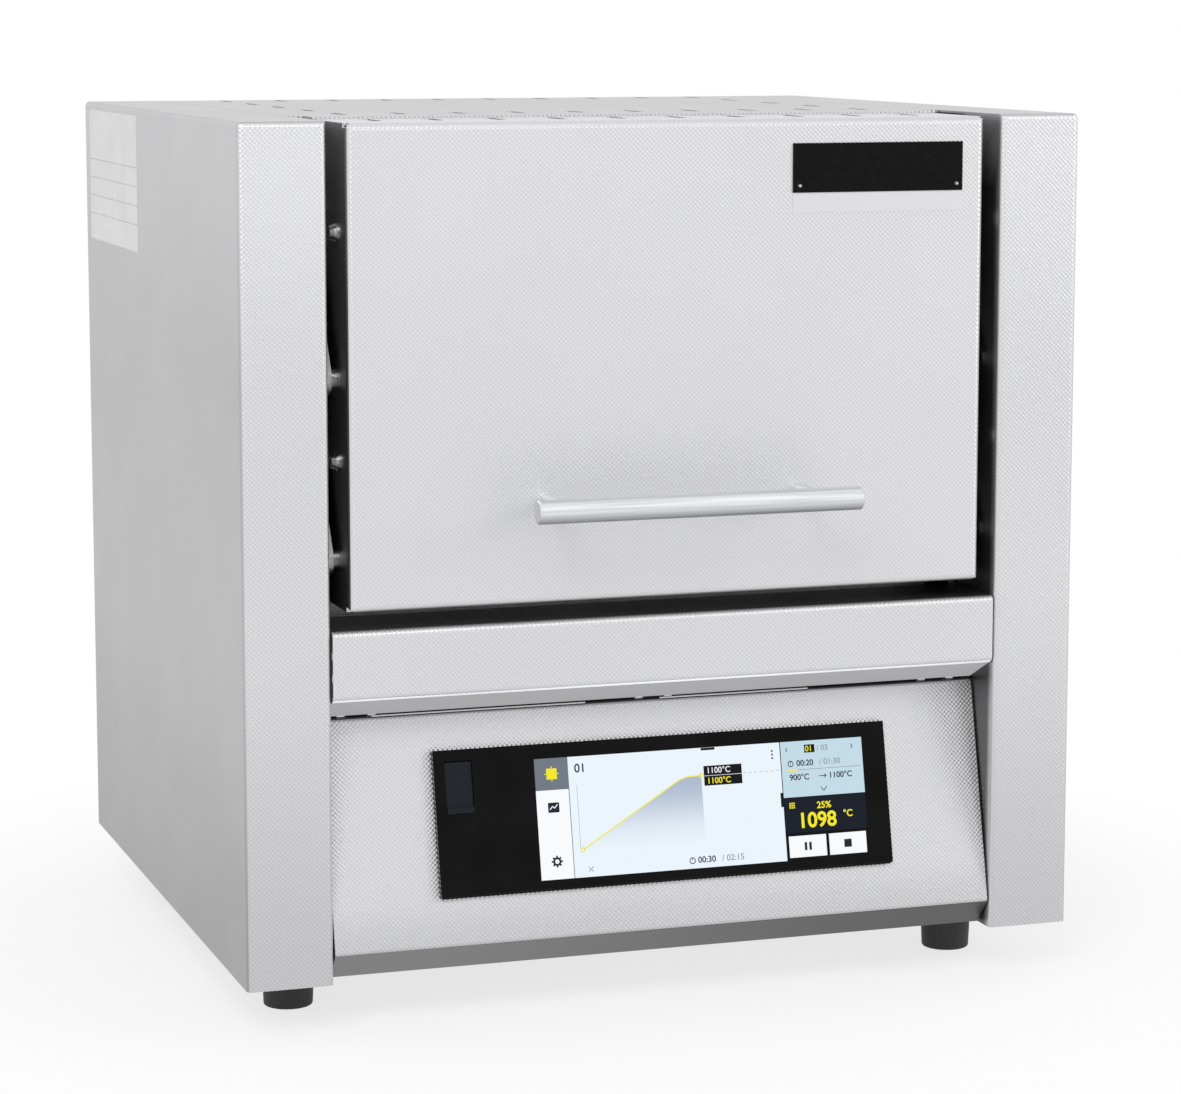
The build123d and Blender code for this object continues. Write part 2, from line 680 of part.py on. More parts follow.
# Lift arms, upper and lower on each side
pivot_head = 1.5 * pivot_radius
door_pin_bore = door_pin_radius + running_gap
free_pin_bore = door_pin_radius + fit_gap
for side, sign in (("left", -1), ("right", 1)):
    with BuildPart() as upper_arm:
        arm_blank(upper_frame_z, upper_door_z, sign, door_pin_bore)
    keep(upper_arm, f"{side}_upper_arm")
    with BuildPart() as lower_arm:
        arm_blank(lower_frame_z, lower_door_z, sign, free_pin_bore)
    keep(lower_arm, f"{side}_lower_arm")

# Upper arm shafts, each with a head inside, a crank outside and the spring's pin
shaft_head = 1.2
with BuildPart() as upper_arm_shafts:
    for sign in (-1, 1):
        rod_x(sign * arm_inner, sign * crank_outer, frame_pivot_y, upper_frame_z, pivot_radius)
        rod_x(sign * (arm_inner - shaft_head), sign * arm_inner, frame_pivot_y, upper_frame_z, pivot_head)
        crank_plane = Plane((sign * crank_inner, frame_pivot_y, upper_frame_z),
                            x_dir=(0, 1, 0), z_dir=(sign, 0, 0))
        with BuildSketch(crank_plane):
            with Locations((crank_radius / 2, 0)):
                SlotCenterToCenter(crank_radius, arm_width)
        extrude(amount=arm_thickness)
        rod_x(sign * crank_outer, sign * crank_pin_outer, spring_y, upper_frame_z, crank_pin_radius)
keep(upper_arm_shafts, "upper_arm_shafts")

# Lower arm pins, each with a head inside and a washer outside the bearing
with BuildPart() as lower_arm_pins:
    for sign in (-1, 1):
        rod_x(sign * arm_inner, sign * crank_outer, frame_pivot_y, lower_frame_z, pivot_radius)
        rod_x(sign * (arm_inner - shaft_head), sign * arm_inner, frame_pivot_y, lower_frame_z, pivot_head)
        rod_x(sign * crank_inner, sign * crank_outer, frame_pivot_y, lower_frame_z, pivot_head)
keep(lower_arm_pins, "lower_arm_pins")

# Counterbalance springs: a coil between two straight ends, each with an eye on its pin
coil_length = spring_pitch * spring_turns
coil_bottom = (spring_anchor_z + upper_frame_z - coil_length) / 2
coil_top = coil_bottom + coil_length
eye_radius = crank_pin_radius + fit_gap + spring_wire / 2
with BuildPart() as door_springs:
    for sign in (-1, 1):
        axis_x = sign * spring_x
        with BuildLine():
            Helix(spring_pitch, coil_length, spring_radius, center=(axis_x, spring_y, coil_bottom))
        with BuildSketch(Plane((axis_x + spring_radius, spring_y, coil_bottom), z_dir=(0, 1, 0))):
            Circle(spring_wire / 2)
        sweep(is_frenet=True)
        for pin_z, end_z, toward in ((upper_frame_z, coil_top, -1), (spring_anchor_z, coil_bottom, 1)):
            rod_x(axis_x - spring_wire / 2, axis_x + spring_radius, spring_y, end_z, spring_wire / 2)
            rod_z(axis_x, spring_y, end_z, pin_z + toward * eye_radius, spring_wire / 2)
            with Locations((axis_x, spring_y, pin_z)):
                Torus(eye_radius, spring_wire / 2, rotation=(0, 90, 0))
keep(door_springs, "door_springs")

# Door shell: a folded box, open at the back, with corner reliefs, vents and pivot holes
relief = 2.0
shell_top_vents = [(x, front + door_vent_depth) for x in vent_columns_x]
bolt_heights = (door_bottom + low_bolt_height, door_top - high_bolt_drop)
bolt_places = [(front + door_bolt_depth, z) for z in bolt_heights]
pivot_places = [(door_pivot_y, upper_door_z), (door_pivot_y, lower_door_z)]
post_x = handle_post_spacing / 2
handle_z = door_bottom + handle_height
with BuildPart() as door_shell:
    block(-door_half, door_half, front, door_back, door_bottom, door_top)
    front_face = door_shell.faces().sort_by(Axis.Y)[0]
    fillet(front_face.edges(), door_edge_radius)
    block(-door_half + sheet, door_half - sheet, front + sheet, door_back + sheet,
          door_bottom + sheet, door_top - sheet, Mode.SUBTRACT)
    for sign in (-1, 1):
        for edge_z in (door_bottom, door_top):
            with Locations((sign * door_half, front + door_edge_radius, edge_z)):
                Cylinder(relief, 2 * relief, rotation=(90, 0, 0), mode=Mode.SUBTRACT)
        flank_inner, flank_outer = sign * (door_half - 2 * sheet), sign * (door_half + sheet)
        for y, z in bolt_places:
            rod_x(flank_inner, flank_outer, y, z, door_bolt_shank, Mode.SUBTRACT)
        for y, z in pivot_places:
            rod_x(flank_inner, flank_outer, y, z, door_pin_radius, Mode.SUBTRACT)
        rod_y(sign * post_x, front - sheet, front + 2 * sheet, handle_z, screw_radius, Mode.SUBTRACT)
    with BuildSketch(Plane.XY.offset(door_top)):
        with Locations(shell_top_vents):
            SlotOverall(vent_length, vent_width, rotation=90)
    extrude(amount=-2 * sheet, mode=Mode.SUBTRACT)
keep(door_shell, "door_shell")

# Door lining block and the steel back plate around it
lining_face = chamber_front - door_lining_gap
lining_root = lining_face - door_lining_thickness
lining_low = chamber_mid - lining_z
lining_high = chamber_mid + lining_z
with BuildPart() as door_lining:
    block(-lining_x, lining_x, lining_root, lining_face, lining_low, lining_high)
    fillet(door_lining.edges().filter_by(Axis.Y), door_edge_radius)
keep(door_lining, "door_lining")

plate_y = door_back - back_plate_inset - sheet
pan_half = lining_x + fit_gap + sheet
with BuildPart() as door_back_plate:
    block(-door_half + sheet, door_half - sheet, plate_y, plate_y + sheet,
          door_bottom + sheet, door_top - sheet)
    block(-pan_half, pan_half, lining_root - sheet, plate_y, lining_low, lining_high)
    block(-lining_x - fit_gap, lining_x + fit_gap, lining_root, door_back + sheet,
          lining_low - fit_gap, lining_high + fit_gap, Mode.SUBTRACT)
keep(door_back_plate, "door_back_plate")

# Brackets inside the door's sides, behind the bolts and the pivot pins
bracket_outer = door_half - sheet
bracket_inner = bracket_outer - door_bracket_thickness
bracket_edge = 8.0
with BuildPart() as door_brackets:
    for sign in (-1, 1):
        block(sign * bracket_inner, sign * bracket_outer, front + bracket_edge, plate_y - fit_gap,
              lower_door_z - bracket_edge, bolt_places[-1][1] + bracket_edge)
        for y, z in bolt_places:
            rod_x(sign * (bracket_inner - sheet), sign * bracket_outer, y, z, door_bolt_shank, Mode.SUBTRACT)
        for y, z in pivot_places:
            rod_x(sign * (bracket_inner - sheet), sign * bracket_outer, y, z, door_pin_radius, Mode.SUBTRACT)
keep(door_brackets, "door_brackets")

# Dome-headed bolts in the door's sides, with washers and nuts
dome = 2.8
washer = 0.8
bolt_nut = 4.0
with BuildPart() as door_bolts:
    for sign in (-1, 1):
        for y, z in bolt_places:
            rod_x(sign * (bracket_inner - bolt_nut), sign * door_half, y, z, door_bolt_shank)
            rod_x(sign * door_half, sign * (door_half + washer), y, z, door_bolt_head)
            head_plane = Plane((sign * (door_half + washer), y, z), x_dir=(0, 1, 0), z_dir=(sign, 0, 0))
            with BuildSketch(head_plane):
                Circle(door_bolt_head * 0.93)
            extrude(amount=dome, taper=24)
            nut_plane = Plane((sign * bracket_inner, y, z), x_dir=(0, 1, 0), z_dir=(-sign, 0, 0))
            with BuildSketch(nut_plane):
                RegularPolygon(2 * door_bolt_shank, 6)
            extrude(amount=bolt_nut)
keep(door_bolts, "door_bolts")

# Pivot pins that carry the door on its arms: inner head, shoulder and outer head
pin_head = 1.6
shoulder_radius = 5.0
shoulder_outer = arm_inner - side_play
pin_head_inner = arm_outer + side_play
with BuildPart() as door_pivot_pins:
    for sign in (-1, 1):
        for y, z in pivot_places:
            rod_x(sign * (bracket_inner - pin_head), sign * bracket_inner, y, z, shoulder_radius)
            rod_x(sign * bracket_inner, sign * pin_head_inner, y, z, door_pin_radius)
            rod_x(sign * door_half, sign * shoulder_outer, y, z, shoulder_radius)
            rod_x(sign * pin_head_inner, sign * (pin_head_inner + pin_head), y, z, 1.5 * door_pin_radius)
keep(door_pivot_pins, "door_pivot_pins")

# Door handle: a round bar on two posts, held by screws from inside the door
bar_y = front - handle_stand_off
seat_y = bar_y + handle_radius - handle_flat
with BuildPart() as door_handle:
    rod_x(-handle_length / 2, handle_length / 2, bar_y, handle_z, handle_radius)
    chamfer(door_handle.edges().filter_by(GeomType.CIRCLE), bend_radius / 5)
    for sign in (-1, 1):
        rod_y(sign * post_x, seat_y, bar_y + 2 * handle_radius, handle_z, handle_post_radius, Mode.SUBTRACT)
keep(door_handle, "door_handle")

with BuildPart() as handle_posts:
    for sign in (-1, 1):
        rod_y(sign * post_x, seat_y, front, handle_z, handle_post_radius)
        rod_y(sign * post_x, front - 2 * screw_length, front, handle_z, screw_radius, Mode.SUBTRACT)
keep(handle_posts, "handle_posts")

with BuildPart() as handle_screws:
    for sign in (-1, 1):
        rod_y(sign * post_x, front - screw_length, front + sheet, handle_z, screw_radius)
        rod_y(sign * post_x, front + sheet, front + sheet + screw_head, handle_z, handle_screw_head)
keep(handle_screws, "handle_screws")

# Bare badge plate and its rivets
badge_right = door_half - badge_right_inset
badge_left = badge_right - badge_width
badge_top = door_top - badge_top_inset
badge_bottom = badge_top - badge_height
with BuildPart() as badge_plate:
    block(badge_left, badge_right, front - badge_thickness, front, badge_bottom, badge_top)
    chamfer(badge_plate.faces().sort_by(Axis.Y)[0].edges(), badge_thickness / 4)
keep(badge_plate, "badge_plate")

with BuildPart() as badge_rivets:
    for x in (badge_left + rivet_inset, badge_right - rivet_inset):
        with Locations((x, front - badge_thickness, badge_bottom + rivet_inset)):
            Cone(rivet_radius, rivet_radius * 0.6, badge_thickness, rotation=(90, 0, 0),
                 align=(Align.CENTER, Align.CENTER, Align.MIN))
keep(badge_rivets, "badge_rivets")

# Bare label on the left side
label_back = back - label_back_inset
with BuildPart() as side_label:
    block(-half_width - label_thickness, -half_width, label_back - label_length, label_back,
          case_top - label_top_inset - label_height, case_top - label_top_inset)
keep(side_label, "side_label")

# Controller: black glass front with a screen window and a port
with BuildPart(panel_face) as controller_glass:
    block(glass_left, glass_right, glass_bottom, glass_top, 0, glass_thickness)
    chamfer(controller_glass.faces().sort_by(Axis.Y)[0].edges(), sheet)
    block(screen_left, screen_left + screen_width, screen_bottom, screen_bottom + screen_height,
          -sheet, glass_thickness + sheet, Mode.SUBTRACT)
    block(port_left, port_left + port_width, port_bottom, port_top,
          -sheet, glass_thickness + sheet, Mode.SUBTRACT)
    rod_x(port_left - cover_pin_length - fit_gap, port_left + port_width + cover_pin_length + fit_gap,
          cover_axis_up, cover_axis_out, cover_pin_radius + running_gap, Mode.SUBTRACT)
keep(controller_glass, "controller_glass")

# Display module in the glass's window
with BuildPart(panel_face) as display_module:
    block(screen_left + running_gap, screen_left + screen_width - running_gap,
          screen_bottom + running_gap, screen_bottom + screen_height - running_gap,
          glass_thickness - screen_depth, glass_thickness - running_gap)
keep(display_module, "display_module")

# Plastic box behind the glass, with posts for the board
board_back = -board_gap - board_thickness
post_width = 5.0
with BuildPart(panel_face) as controller_housing:
    block(housing_left, housing_right, housing_low, housing_high, -controller_depth, 0)
    block(housing_left + controller_wall, housing_right - controller_wall, housing_low + controller_wall,
          housing_high - controller_wall, controller_wall - controller_depth, sheet, Mode.SUBTRACT)
    for x in (housing_left + controller_wall, housing_right - controller_wall - post_width):
        for up in (housing_low + controller_wall, housing_high - controller_wall - post_width):
            block(x, x + post_width, up, up + post_width, -controller_depth + controller_wall / 2, board_back)
keep(controller_housing, "controller_housing")

# Controller board with its larger components
board_left = housing_left + controller_wall + fit_gap
board_right = housing_right - controller_wall - fit_gap
board_low = housing_low + controller_wall + fit_gap
board_high = housing_high - controller_wall - fit_gap
chip = 12.0
chip_height = 2.0
chip_pitch = 34.0
chip_columns = 4
with BuildPart(panel_face) as controller_board:
    block(board_left, board_right, board_low, board_high, board_back, -board_gap)
    connector_x = screen_left + screen_width / 2
    with Locations((connector_x, (board_low + board_high) / 2, -board_gap + chip_height / 2)):
        with GridLocations(chip_pitch, 2 * chip, chip_columns, 2):
            Box(chip, chip, chip_height)
    block(connector_x - chip, connector_x + chip, board_high - chip_height, board_high,
          -board_gap, glass_thickness - screen_depth)
keep(controller_board, "controller_board")

# Data socket behind the cover, and the hinged cover itself
usb_middle = (port_top + port_bottom) / 2 - cover_thickness
usb_front = 0.0
with BuildPart(panel_face) as usb_socket:
    block(port_mid - usb_width / 2, port_mid + usb_width / 2, usb_middle - usb_height / 2,
          usb_middle + usb_height / 2, -board_gap, usb_front)
    block(port_mid - usb_width / 2 + usb_wall, port_mid + usb_width / 2 - usb_wall,
          usb_middle - usb_height / 2 + usb_wall, usb_middle + usb_height / 2 - usb_wall,
          -board_gap + usb_wall, usb_front + sheet, Mode.SUBTRACT)
    block(port_mid - usb_wall, port_mid + usb_wall, usb_middle - usb_height / 2 + 2 * usb_wall,
          usb_middle + usb_height / 2 - 2 * usb_wall, -board_gap + usb_wall, usb_front - 2 * usb_wall)
keep(usb_socket, "usb_socket")

cover_radius = cover_thickness / 2
with BuildPart(panel_face) as usb_cover:
    cover_left = port_left + cover_gap
    cover_right = port_left + port_width - cover_gap
    rod_x(cover_left, cover_right, cover_axis_up, cover_axis_out, cover_radius)
    block(cover_left, cover_right, port_bottom + cover_gap, cover_axis_up,
          cover_axis_out - cover_radius, cover_axis_out + cover_radius)
    block(cover_left, cover_right, port_bottom + cover_gap, port_bottom + cover_gap + 2 * cover_lip,
          cover_axis_out, cover_axis_out + cover_radius + cover_lip)
    rod_x(port_left - cover_pin_length, port_left + port_width + cover_pin_length,
          cover_axis_up, cover_axis_out, cover_pin_radius)
keep(usb_cover, "usb_cover")

# Mains inlet module: flange, body, socket recess with its blades, and the rocker's well
socket_z = inlet_z - socket_drop
rocker_z = inlet_z + rocker_rise
blade_length = 9.0
blade_thickness = 2.0
blade_height = 4.0
blade_pitch = 7.0
blade_rise = 4.0
with BuildPart() as mains_inlet:
    block(inlet_x - inlet_width / 2, inlet_x + inlet_width / 2, back, back + inlet_flange,
          inlet_z - inlet_height / 2, inlet_z + inlet_height / 2)
    fillet(mains_inlet.edges().filter_by(Axis.Y), inlet_flange)
    block(inlet_x - inlet_body_width / 2, inlet_x + inlet_body_width / 2, back - inlet_body_depth, back,
          inlet_z - inlet_body_height / 2, inlet_z + inlet_body_height / 2)
    block(inlet_x - socket_width / 2, inlet_x + socket_width / 2, back + inlet_flange - socket_depth,
          back + 2 * inlet_flange, socket_z - socket_height / 2, socket_z + socket_height / 2, Mode.SUBTRACT)
    for column, rise in ((-1, 0), (0, blade_rise), (1, 0)):
        blade_x = inlet_x + column * blade_pitch
        blade_z = socket_z + rise - blade_rise / 2
        block(blade_x - blade_thickness / 2, blade_x + blade_thickness / 2,
              back + inlet_flange - socket_depth, back + inlet_flange - socket_depth + blade_length,
              blade_z - blade_height / 2, blade_z + blade_height / 2)
    block(inlet_x - rocker_width / 2 - rocker_gap, inlet_x + rocker_width / 2 + rocker_gap,
          back + inlet_flange - rocker_depth - 2 * inlet_flange, back + 2 * inlet_flange,
          rocker_z - rocker_length / 2 - rocker_gap, rocker_z + rocker_length / 2 + rocker_gap, Mode.SUBTRACT)
    rod_x(inlet_x - rocker_width / 2 - 2 * inlet_flange, inlet_x + rocker_width / 2 + 2 * inlet_flange,
          back - inlet_flange, rocker_z, rocker_pin_radius + running_gap, Mode.SUBTRACT)
keep(mains_inlet, "mains_inlet")

# Rocker switch, shown pressed at its lower end, where the furnace is off
rocker_pivot = (inlet_x, back - inlet_flange, rocker_z)
half_travel = rocker_travel / 2
rocker_out = 6.0
rocker_face = rocker_length / 2 - rocker_out * sin(radians(half_travel))
rocker_root = rocker_face - rocker_out / 2
rocker_waist = rocker_face * sin(radians(half_travel))
rocker_up = (0, sin(radians(half_travel)), cos(radians(half_travel)))
rocker_plane = Plane(rocker_pivot, x_dir=rocker_up, z_dir=(1, 0, 0))
with BuildPart() as mains_rocker:
    with BuildSketch(rocker_plane):
        with BuildLine():
            Polyline((-rocker_face, -rocker_out), (0, rocker_waist - rocker_out), (rocker_face, -rocker_out),
                     (rocker_root, rocker_out / 2), (-rocker_root, rocker_out / 2), close=True)
        make_face()
    extrude(amount=rocker_width / 2, both=True)
    rod_x(inlet_x - rocker_width / 2 - inlet_flange, inlet_x + rocker_width / 2 + inlet_flange,
          rocker_pivot[1], rocker_z, rocker_pin_radius)
keep(mains_rocker, "mains_rocker")

# Power supply, and the relay on its finned heat sink
supply_x = -half_width + 2 * tray_rim
supply_y = tray_back - 3 * inlet_body_depth - supply_length
cap_radius = 8.0
with BuildPart() as power_supply:
    block(supply_x, supply_x + supply_width, supply_y, supply_y + supply_length,
          tray_top, tray_top + supply_height)
    fillet(power_supply.edges().filter_by(Axis.Z), bend_radius)
    with Locations((supply_x + supply_width / 2, supply_y + supply_length / 2, tray_top + supply_height)):
        with GridLocations(3 * cap_radius, 3 * cap_radius, 2, 3):
            Cylinder(cap_radius / 2, sheet, mode=Mode.SUBTRACT)
keep(power_supply, "power_supply")

sink_x = half_width - foot_inset_x - foot_radius - sink_width
sink_y = tray_back - 2 * inlet_body_depth - sink_length
with BuildPart() as relay_heat_sink:
    block(sink_x, sink_x + sink_width, sink_y, sink_y + sink_length, tray_top + sink_fin_height,
          tray_top + sink_fin_height + sink_base)
    fin_pitch = (sink_width - sink_fin) / (sink_fins - 1)
    for fin in range(sink_fins):
        fin_x = sink_x + fin * fin_pitch
        block(fin_x, fin_x + sink_fin, sink_y, sink_y + sink_length, tray_top, tray_top + sink_fin_height)
keep(relay_heat_sink, "relay_heat_sink")

relay_z = tray_top + sink_fin_height + sink_base
with BuildPart() as solid_state_relay:
    relay_x = sink_x + (sink_width - relay_width) / 2
    relay_y = sink_y + (sink_length - relay_length) / 2
    block(relay_x, relay_x + relay_width, relay_y, relay_y + relay_length, relay_z, relay_z + relay_height)
    block(relay_x - sheet, relay_x + relay_width + sheet,
          relay_y + relay_length / 4, relay_y + 3 * relay_length / 4,
          relay_z + relay_height * 0.7, relay_z + relay_height + sheet, Mode.SUBTRACT)
    with Locations((relay_x + relay_width / 2, relay_y + relay_length / 2, relay_z + relay_height)):
        with GridLocations(relay_width / 2, relay_length * 0.8, 2, 2):
            Cylinder(screw_head_radius, 2 * sheet)
keep(solid_state_relay, "solid_state_relay")

# Door switch under the crossbar's shelf, and its magnet in the bottom of the door
switch_x = crossbar_half - 2 * switch_length
switch_y = front + crossbar_shelf_depth / 2
with BuildPart() as door_switch:
    block(switch_x, switch_x + switch_length, switch_y, switch_y + switch_width,
          crossbar_top - sheet - switch_height, crossbar_top - sheet)
keep(door_switch, "door_switch")

with BuildPart() as switch_magnet:
    block(switch_x, switch_x + switch_length, switch_y, switch_y + switch_width,
          door_bottom + sheet, door_bottom + sheet + switch_height / 2)
keep(switch_magnet, "switch_magnet")

# Rear panel screws into the side panels' rear flanges
screw_rows = (case_bottom + 2 * tray_rim, chamber_mid, case_top - 2 * tray_rim)
screw_places = [(sign * (half_width - screw_inset), z) for sign in (-1, 1) for z in screw_rows]
with BuildPart() as rear_screws:
    for x, z in screw_places:
        with Locations((x, back, z)):
            Cone(screw_head_radius, screw_head_radius * 0.6, screw_head, rotation=(-90, 0, 0),
                 align=(Align.CENTER, Align.CENTER, Align.MIN))
keep(rear_screws, "rear_screws")
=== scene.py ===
from math import cos, pi, radians, sin

import bpy
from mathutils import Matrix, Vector


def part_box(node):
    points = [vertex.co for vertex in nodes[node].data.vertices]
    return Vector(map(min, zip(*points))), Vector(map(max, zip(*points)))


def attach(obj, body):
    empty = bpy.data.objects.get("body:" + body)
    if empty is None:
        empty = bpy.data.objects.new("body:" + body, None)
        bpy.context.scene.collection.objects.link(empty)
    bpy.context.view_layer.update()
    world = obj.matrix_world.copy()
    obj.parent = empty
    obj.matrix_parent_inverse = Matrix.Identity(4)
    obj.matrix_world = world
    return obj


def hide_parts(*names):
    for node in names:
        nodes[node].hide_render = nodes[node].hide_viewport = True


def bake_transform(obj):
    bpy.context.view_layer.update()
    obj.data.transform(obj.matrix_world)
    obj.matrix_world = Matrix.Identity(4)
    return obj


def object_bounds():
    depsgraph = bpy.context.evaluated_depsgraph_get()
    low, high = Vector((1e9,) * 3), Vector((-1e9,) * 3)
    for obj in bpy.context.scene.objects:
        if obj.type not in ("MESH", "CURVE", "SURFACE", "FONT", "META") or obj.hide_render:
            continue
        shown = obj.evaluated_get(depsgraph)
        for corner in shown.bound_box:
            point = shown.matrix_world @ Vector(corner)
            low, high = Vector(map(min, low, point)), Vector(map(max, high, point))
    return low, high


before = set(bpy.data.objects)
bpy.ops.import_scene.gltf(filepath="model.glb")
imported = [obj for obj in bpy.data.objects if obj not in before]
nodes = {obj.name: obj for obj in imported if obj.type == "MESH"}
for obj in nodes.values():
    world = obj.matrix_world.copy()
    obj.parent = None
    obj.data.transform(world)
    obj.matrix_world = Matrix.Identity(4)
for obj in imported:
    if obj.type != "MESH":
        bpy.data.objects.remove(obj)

# Looks of the bench muffle furnace: materials, the display, small fittings, camera and light.
# X runs to the operator's right, the door faces -Y and Z is up; lengths are metres.

CAD_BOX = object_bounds()
MM = 0.001


def lowest_highest(*names):
    """Box around several CAD nodes."""
    boxes = [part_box(name) for name in names]
    low = Vector([min(box[0][axis] for box in boxes) for axis in range(3)])
    high = Vector([max(box[1][axis] for box in boxes) for axis in range(3)])
    return low, high


case_low, case_high = lowest_highest("left_side_panel", "right_side_panel")
door_low, door_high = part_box("door_shell")


# Material building

# How flat the rolled dots are on top, how sharply a face keeps to the pattern of its own plane, and
# the part of the normal from which a face counts as square to an axis
DOT_FLATNESS = 1.7
FACE_SHARPNESS = 4.0
SQUARE_ENOUGH = 0.7


class Surface:
    """A material with one principled shader, and short ways to add nodes to it."""

    def __init__(self, name, colour, roughness, metallic=0.0, **inputs):
        self.material = bpy.data.materials.new(name)
        self.material.use_nodes = True
        self.tree = self.material.node_tree
        self.shader = self.tree.nodes["Principled BSDF"]
        self.set("Base Color", (*colour, 1.0))
        self.set("Roughness", roughness)
        self.set("Metallic", metallic)
        for socket, value in inputs.items():
            self.set(socket.replace("_", " "), value)
        coordinates = self.node("ShaderNodeTexCoord")
        self.place = coordinates.outputs["Object"]
        self.normal = coordinates.outputs["Normal"]

    def set(self, socket, value):
        self.shader.inputs[socket].default_value = value

    def node(self, kind, **settings):
        made = self.tree.nodes.new(kind)
        for name, value in settings.items():
            setattr(made, name, value)
        return made

    def feed(self, socket, value):
        """Links an output to an input, or sets a plain value on it."""
        if isinstance(value, bpy.types.NodeSocket):
            self.tree.links.new(value, socket)
        else:
            socket.default_value = value

    def math(self, operation, first, second=0.0):
        made = self.node("ShaderNodeMath", operation=operation)
        for socket, value in zip(made.inputs, (first, second)):
            self.feed(socket, value)
        return made.outputs[0]

    def axes(self, vector):
        made = self.node("ShaderNodeSeparateXYZ")
        self.feed(made.inputs[0], vector)
        return made.outputs[0], made.outputs[1], made.outputs[2]

    def noise(self, scale, detail=2.0, stretch=(1, 1, 1)):
        mapping = self.node("ShaderNodeMapping")
        self.feed(mapping.inputs["Vector"], self.place)
        mapping.inputs["Scale"].default_value = stretch
        made = self.node("ShaderNodeTexNoise")
        self.feed(made.inputs["Vector"], mapping.outputs[0])
        made.inputs["Scale"].default_value = scale
        made.inputs["Detail"].default_value = detail
        return made.outputs["Fac"]

    def ramp(self, value, low, high, start=0.0, end=1.0):
        """A value from low to high while the input runs from start to end."""
        made = self.node("ShaderNodeMapRange", interpolation_type="SMOOTHSTEP")
        for socket, given in zip(made.inputs, (value, start, end, low, high)):
            self.feed(socket, given)
        return made.outputs[0]

    def mix(self, factor, first, second):
        """Colour between two colours."""
        made = self.node("ShaderNodeMix", data_type="RGBA")
        self.feed(made.inputs["Factor"], factor)
        for socket, value in ((made.inputs[6], first), (made.inputs[7], second)):
            self.feed(socket, (*value, 1.0) if isinstance(value, tuple) else value)
        return made.outputs[2]

    def tint(self, colour):
        self.feed(self.shader.inputs["Base Color"], colour)

    def rough(self, value):
        self.feed(self.shader.inputs["Roughness"], value)

    def bump(self, height, depth):
        made = self.node("ShaderNodeBump")
        made.inputs["Distance"].default_value = depth
        self.feed(made.inputs["Height"], height)
        self.feed(self.shader.inputs["Normal"], made.outputs[0])

    def wave(self, value, pitch):
        return self.math("COSINE", self.math("MULTIPLY", value, 2 * pi / pitch))

    def scaled(self, colour, amount):
        made = self.node("ShaderNodeVectorMath", operation="SCALE")
        self.feed(made.inputs[0], colour)
        self.feed(made.inputs["Scale"], amount)
        return made.outputs[0]

    def facing(self, axis):
        """One on faces square to an axis, nought on the others."""
        return self.math("GREATER_THAN", self.math("ABSOLUTE", self.axes(self.normal)[axis]), SQUARE_ENOUGH)

    def choose(self, switch, value, otherwise):
        """The first value where the switch is one, the second where it is nought."""
        made = self.node("ShaderNodeMix", data_type="FLOAT")
        sockets = (made.inputs[0], made.inputs[2], made.inputs[3])
        for socket, given in zip(sockets, (switch, otherwise, value)):
            self.feed(socket, given)
        return made.outputs[0]

    def dimples(self, pitch, weights):
        """Height of a staggered lattice of embossed dots, wider than tall, along each face's own plane."""
        waves = [self.wave(value, pitch) for value in self.axes(self.place)]
        for level in (0, 1):
            flattened = self.math("MINIMUM", self.math("MULTIPLY", waves[level], DOT_FLATNESS), 1.0)
            waves[level] = self.math("MAXIMUM", flattened, -1.0)
        waves[2] = self.math("MULTIPLY", waves[2], self.math("ABSOLUTE", waves[2]))
        facing = [self.math("POWER", self.math("ABSOLUTE", value), FACE_SHARPNESS)
                  for value in self.axes(self.normal)]
        height = 0.0
        for axis, weight in enumerate(weights):
            pair = self.math("MULTIPLY", waves[(axis + 1) % 3], waves[(axis + 2) % 3])
            part = self.math("MULTIPLY", pair, self.math("MULTIPLY", facing[axis], weight))
            height = self.math("ADD", part, height)
        return height


def soften(colour, amount):
    return tuple(channel * amount for channel in colour)


STEEL = (0.66, 0.66, 0.675)
SHEET_ROUGHNESS = 0.36
DOT_PITCH = 2.1 * MM


def embossed_steel(name, shade, depth=0.1 * MM, weights=(1.0, 1.0, 1.0)):
    """Stainless sheet with a rolled pattern of fine dots, and faint handling marks.

    The shade gives each face painted shade and painted light, standing in for the dark and bright
    surroundings the sheet mirrors; the dots add a painted highlight on their tops and painted shade between
    them.
    """
    steel = Surface(name, STEEL, SHEET_ROUGHNESS, metallic=0.8)
    cloud = steel.ramp(steel.noise(5.0, 3.0), 0.0, 1.0, 0.35, 0.65)
    base = steel.mix(cloud, soften(STEEL, 0.985), soften(STEEL, 1.008))
    height = steel.dimples(DOT_PITCH, weights)
    # Painted highlight on the dots' tops and painted shade in the hollows between them
    dots = steel.ramp(height, 0.94, 1.08, -0.5, 0.9)
    steel.tint(steel.scaled(base, steel.math("MULTIPLY", dots, shade(steel))))
    steel.rough(steel.ramp(steel.noise(22.0, 4.0), SHEET_ROUGHNESS - 0.015, SHEET_ROUGHNESS + 0.02, 0.3, 0.7))
    steel.bump(height, depth)
    return steel


# Painted shade and painted light by place on the steel: one is the sheet's own colour, less is painted
# shade and more is painted light. A pair runs from the foot upwards, the apron's from left to right and
# the flange's from its front edge backwards

SIDE_PAINTED_SHADE = (0.52, 0.71)
FRONT_PAINTED_SHADE = (0.82, 0.96)
PANEL_PAINTED_SHADE = (0.78, 0.89)
APRON_PAINTED_SHADE = (0.36, 0.18)
FLANK_PAINTED_SHADE = (0.16, 0.42)
FLANGE_PAINTED_SHADE = (1.0, 0.13)
TOP_PAINTED_SHADE = 0.74
SHELF_PAINTED_SHADE = 0.15
DRIP_PAINTED_LIGHT = 1.4
CROSSBAR_PAINTED_SHADE = 0.98
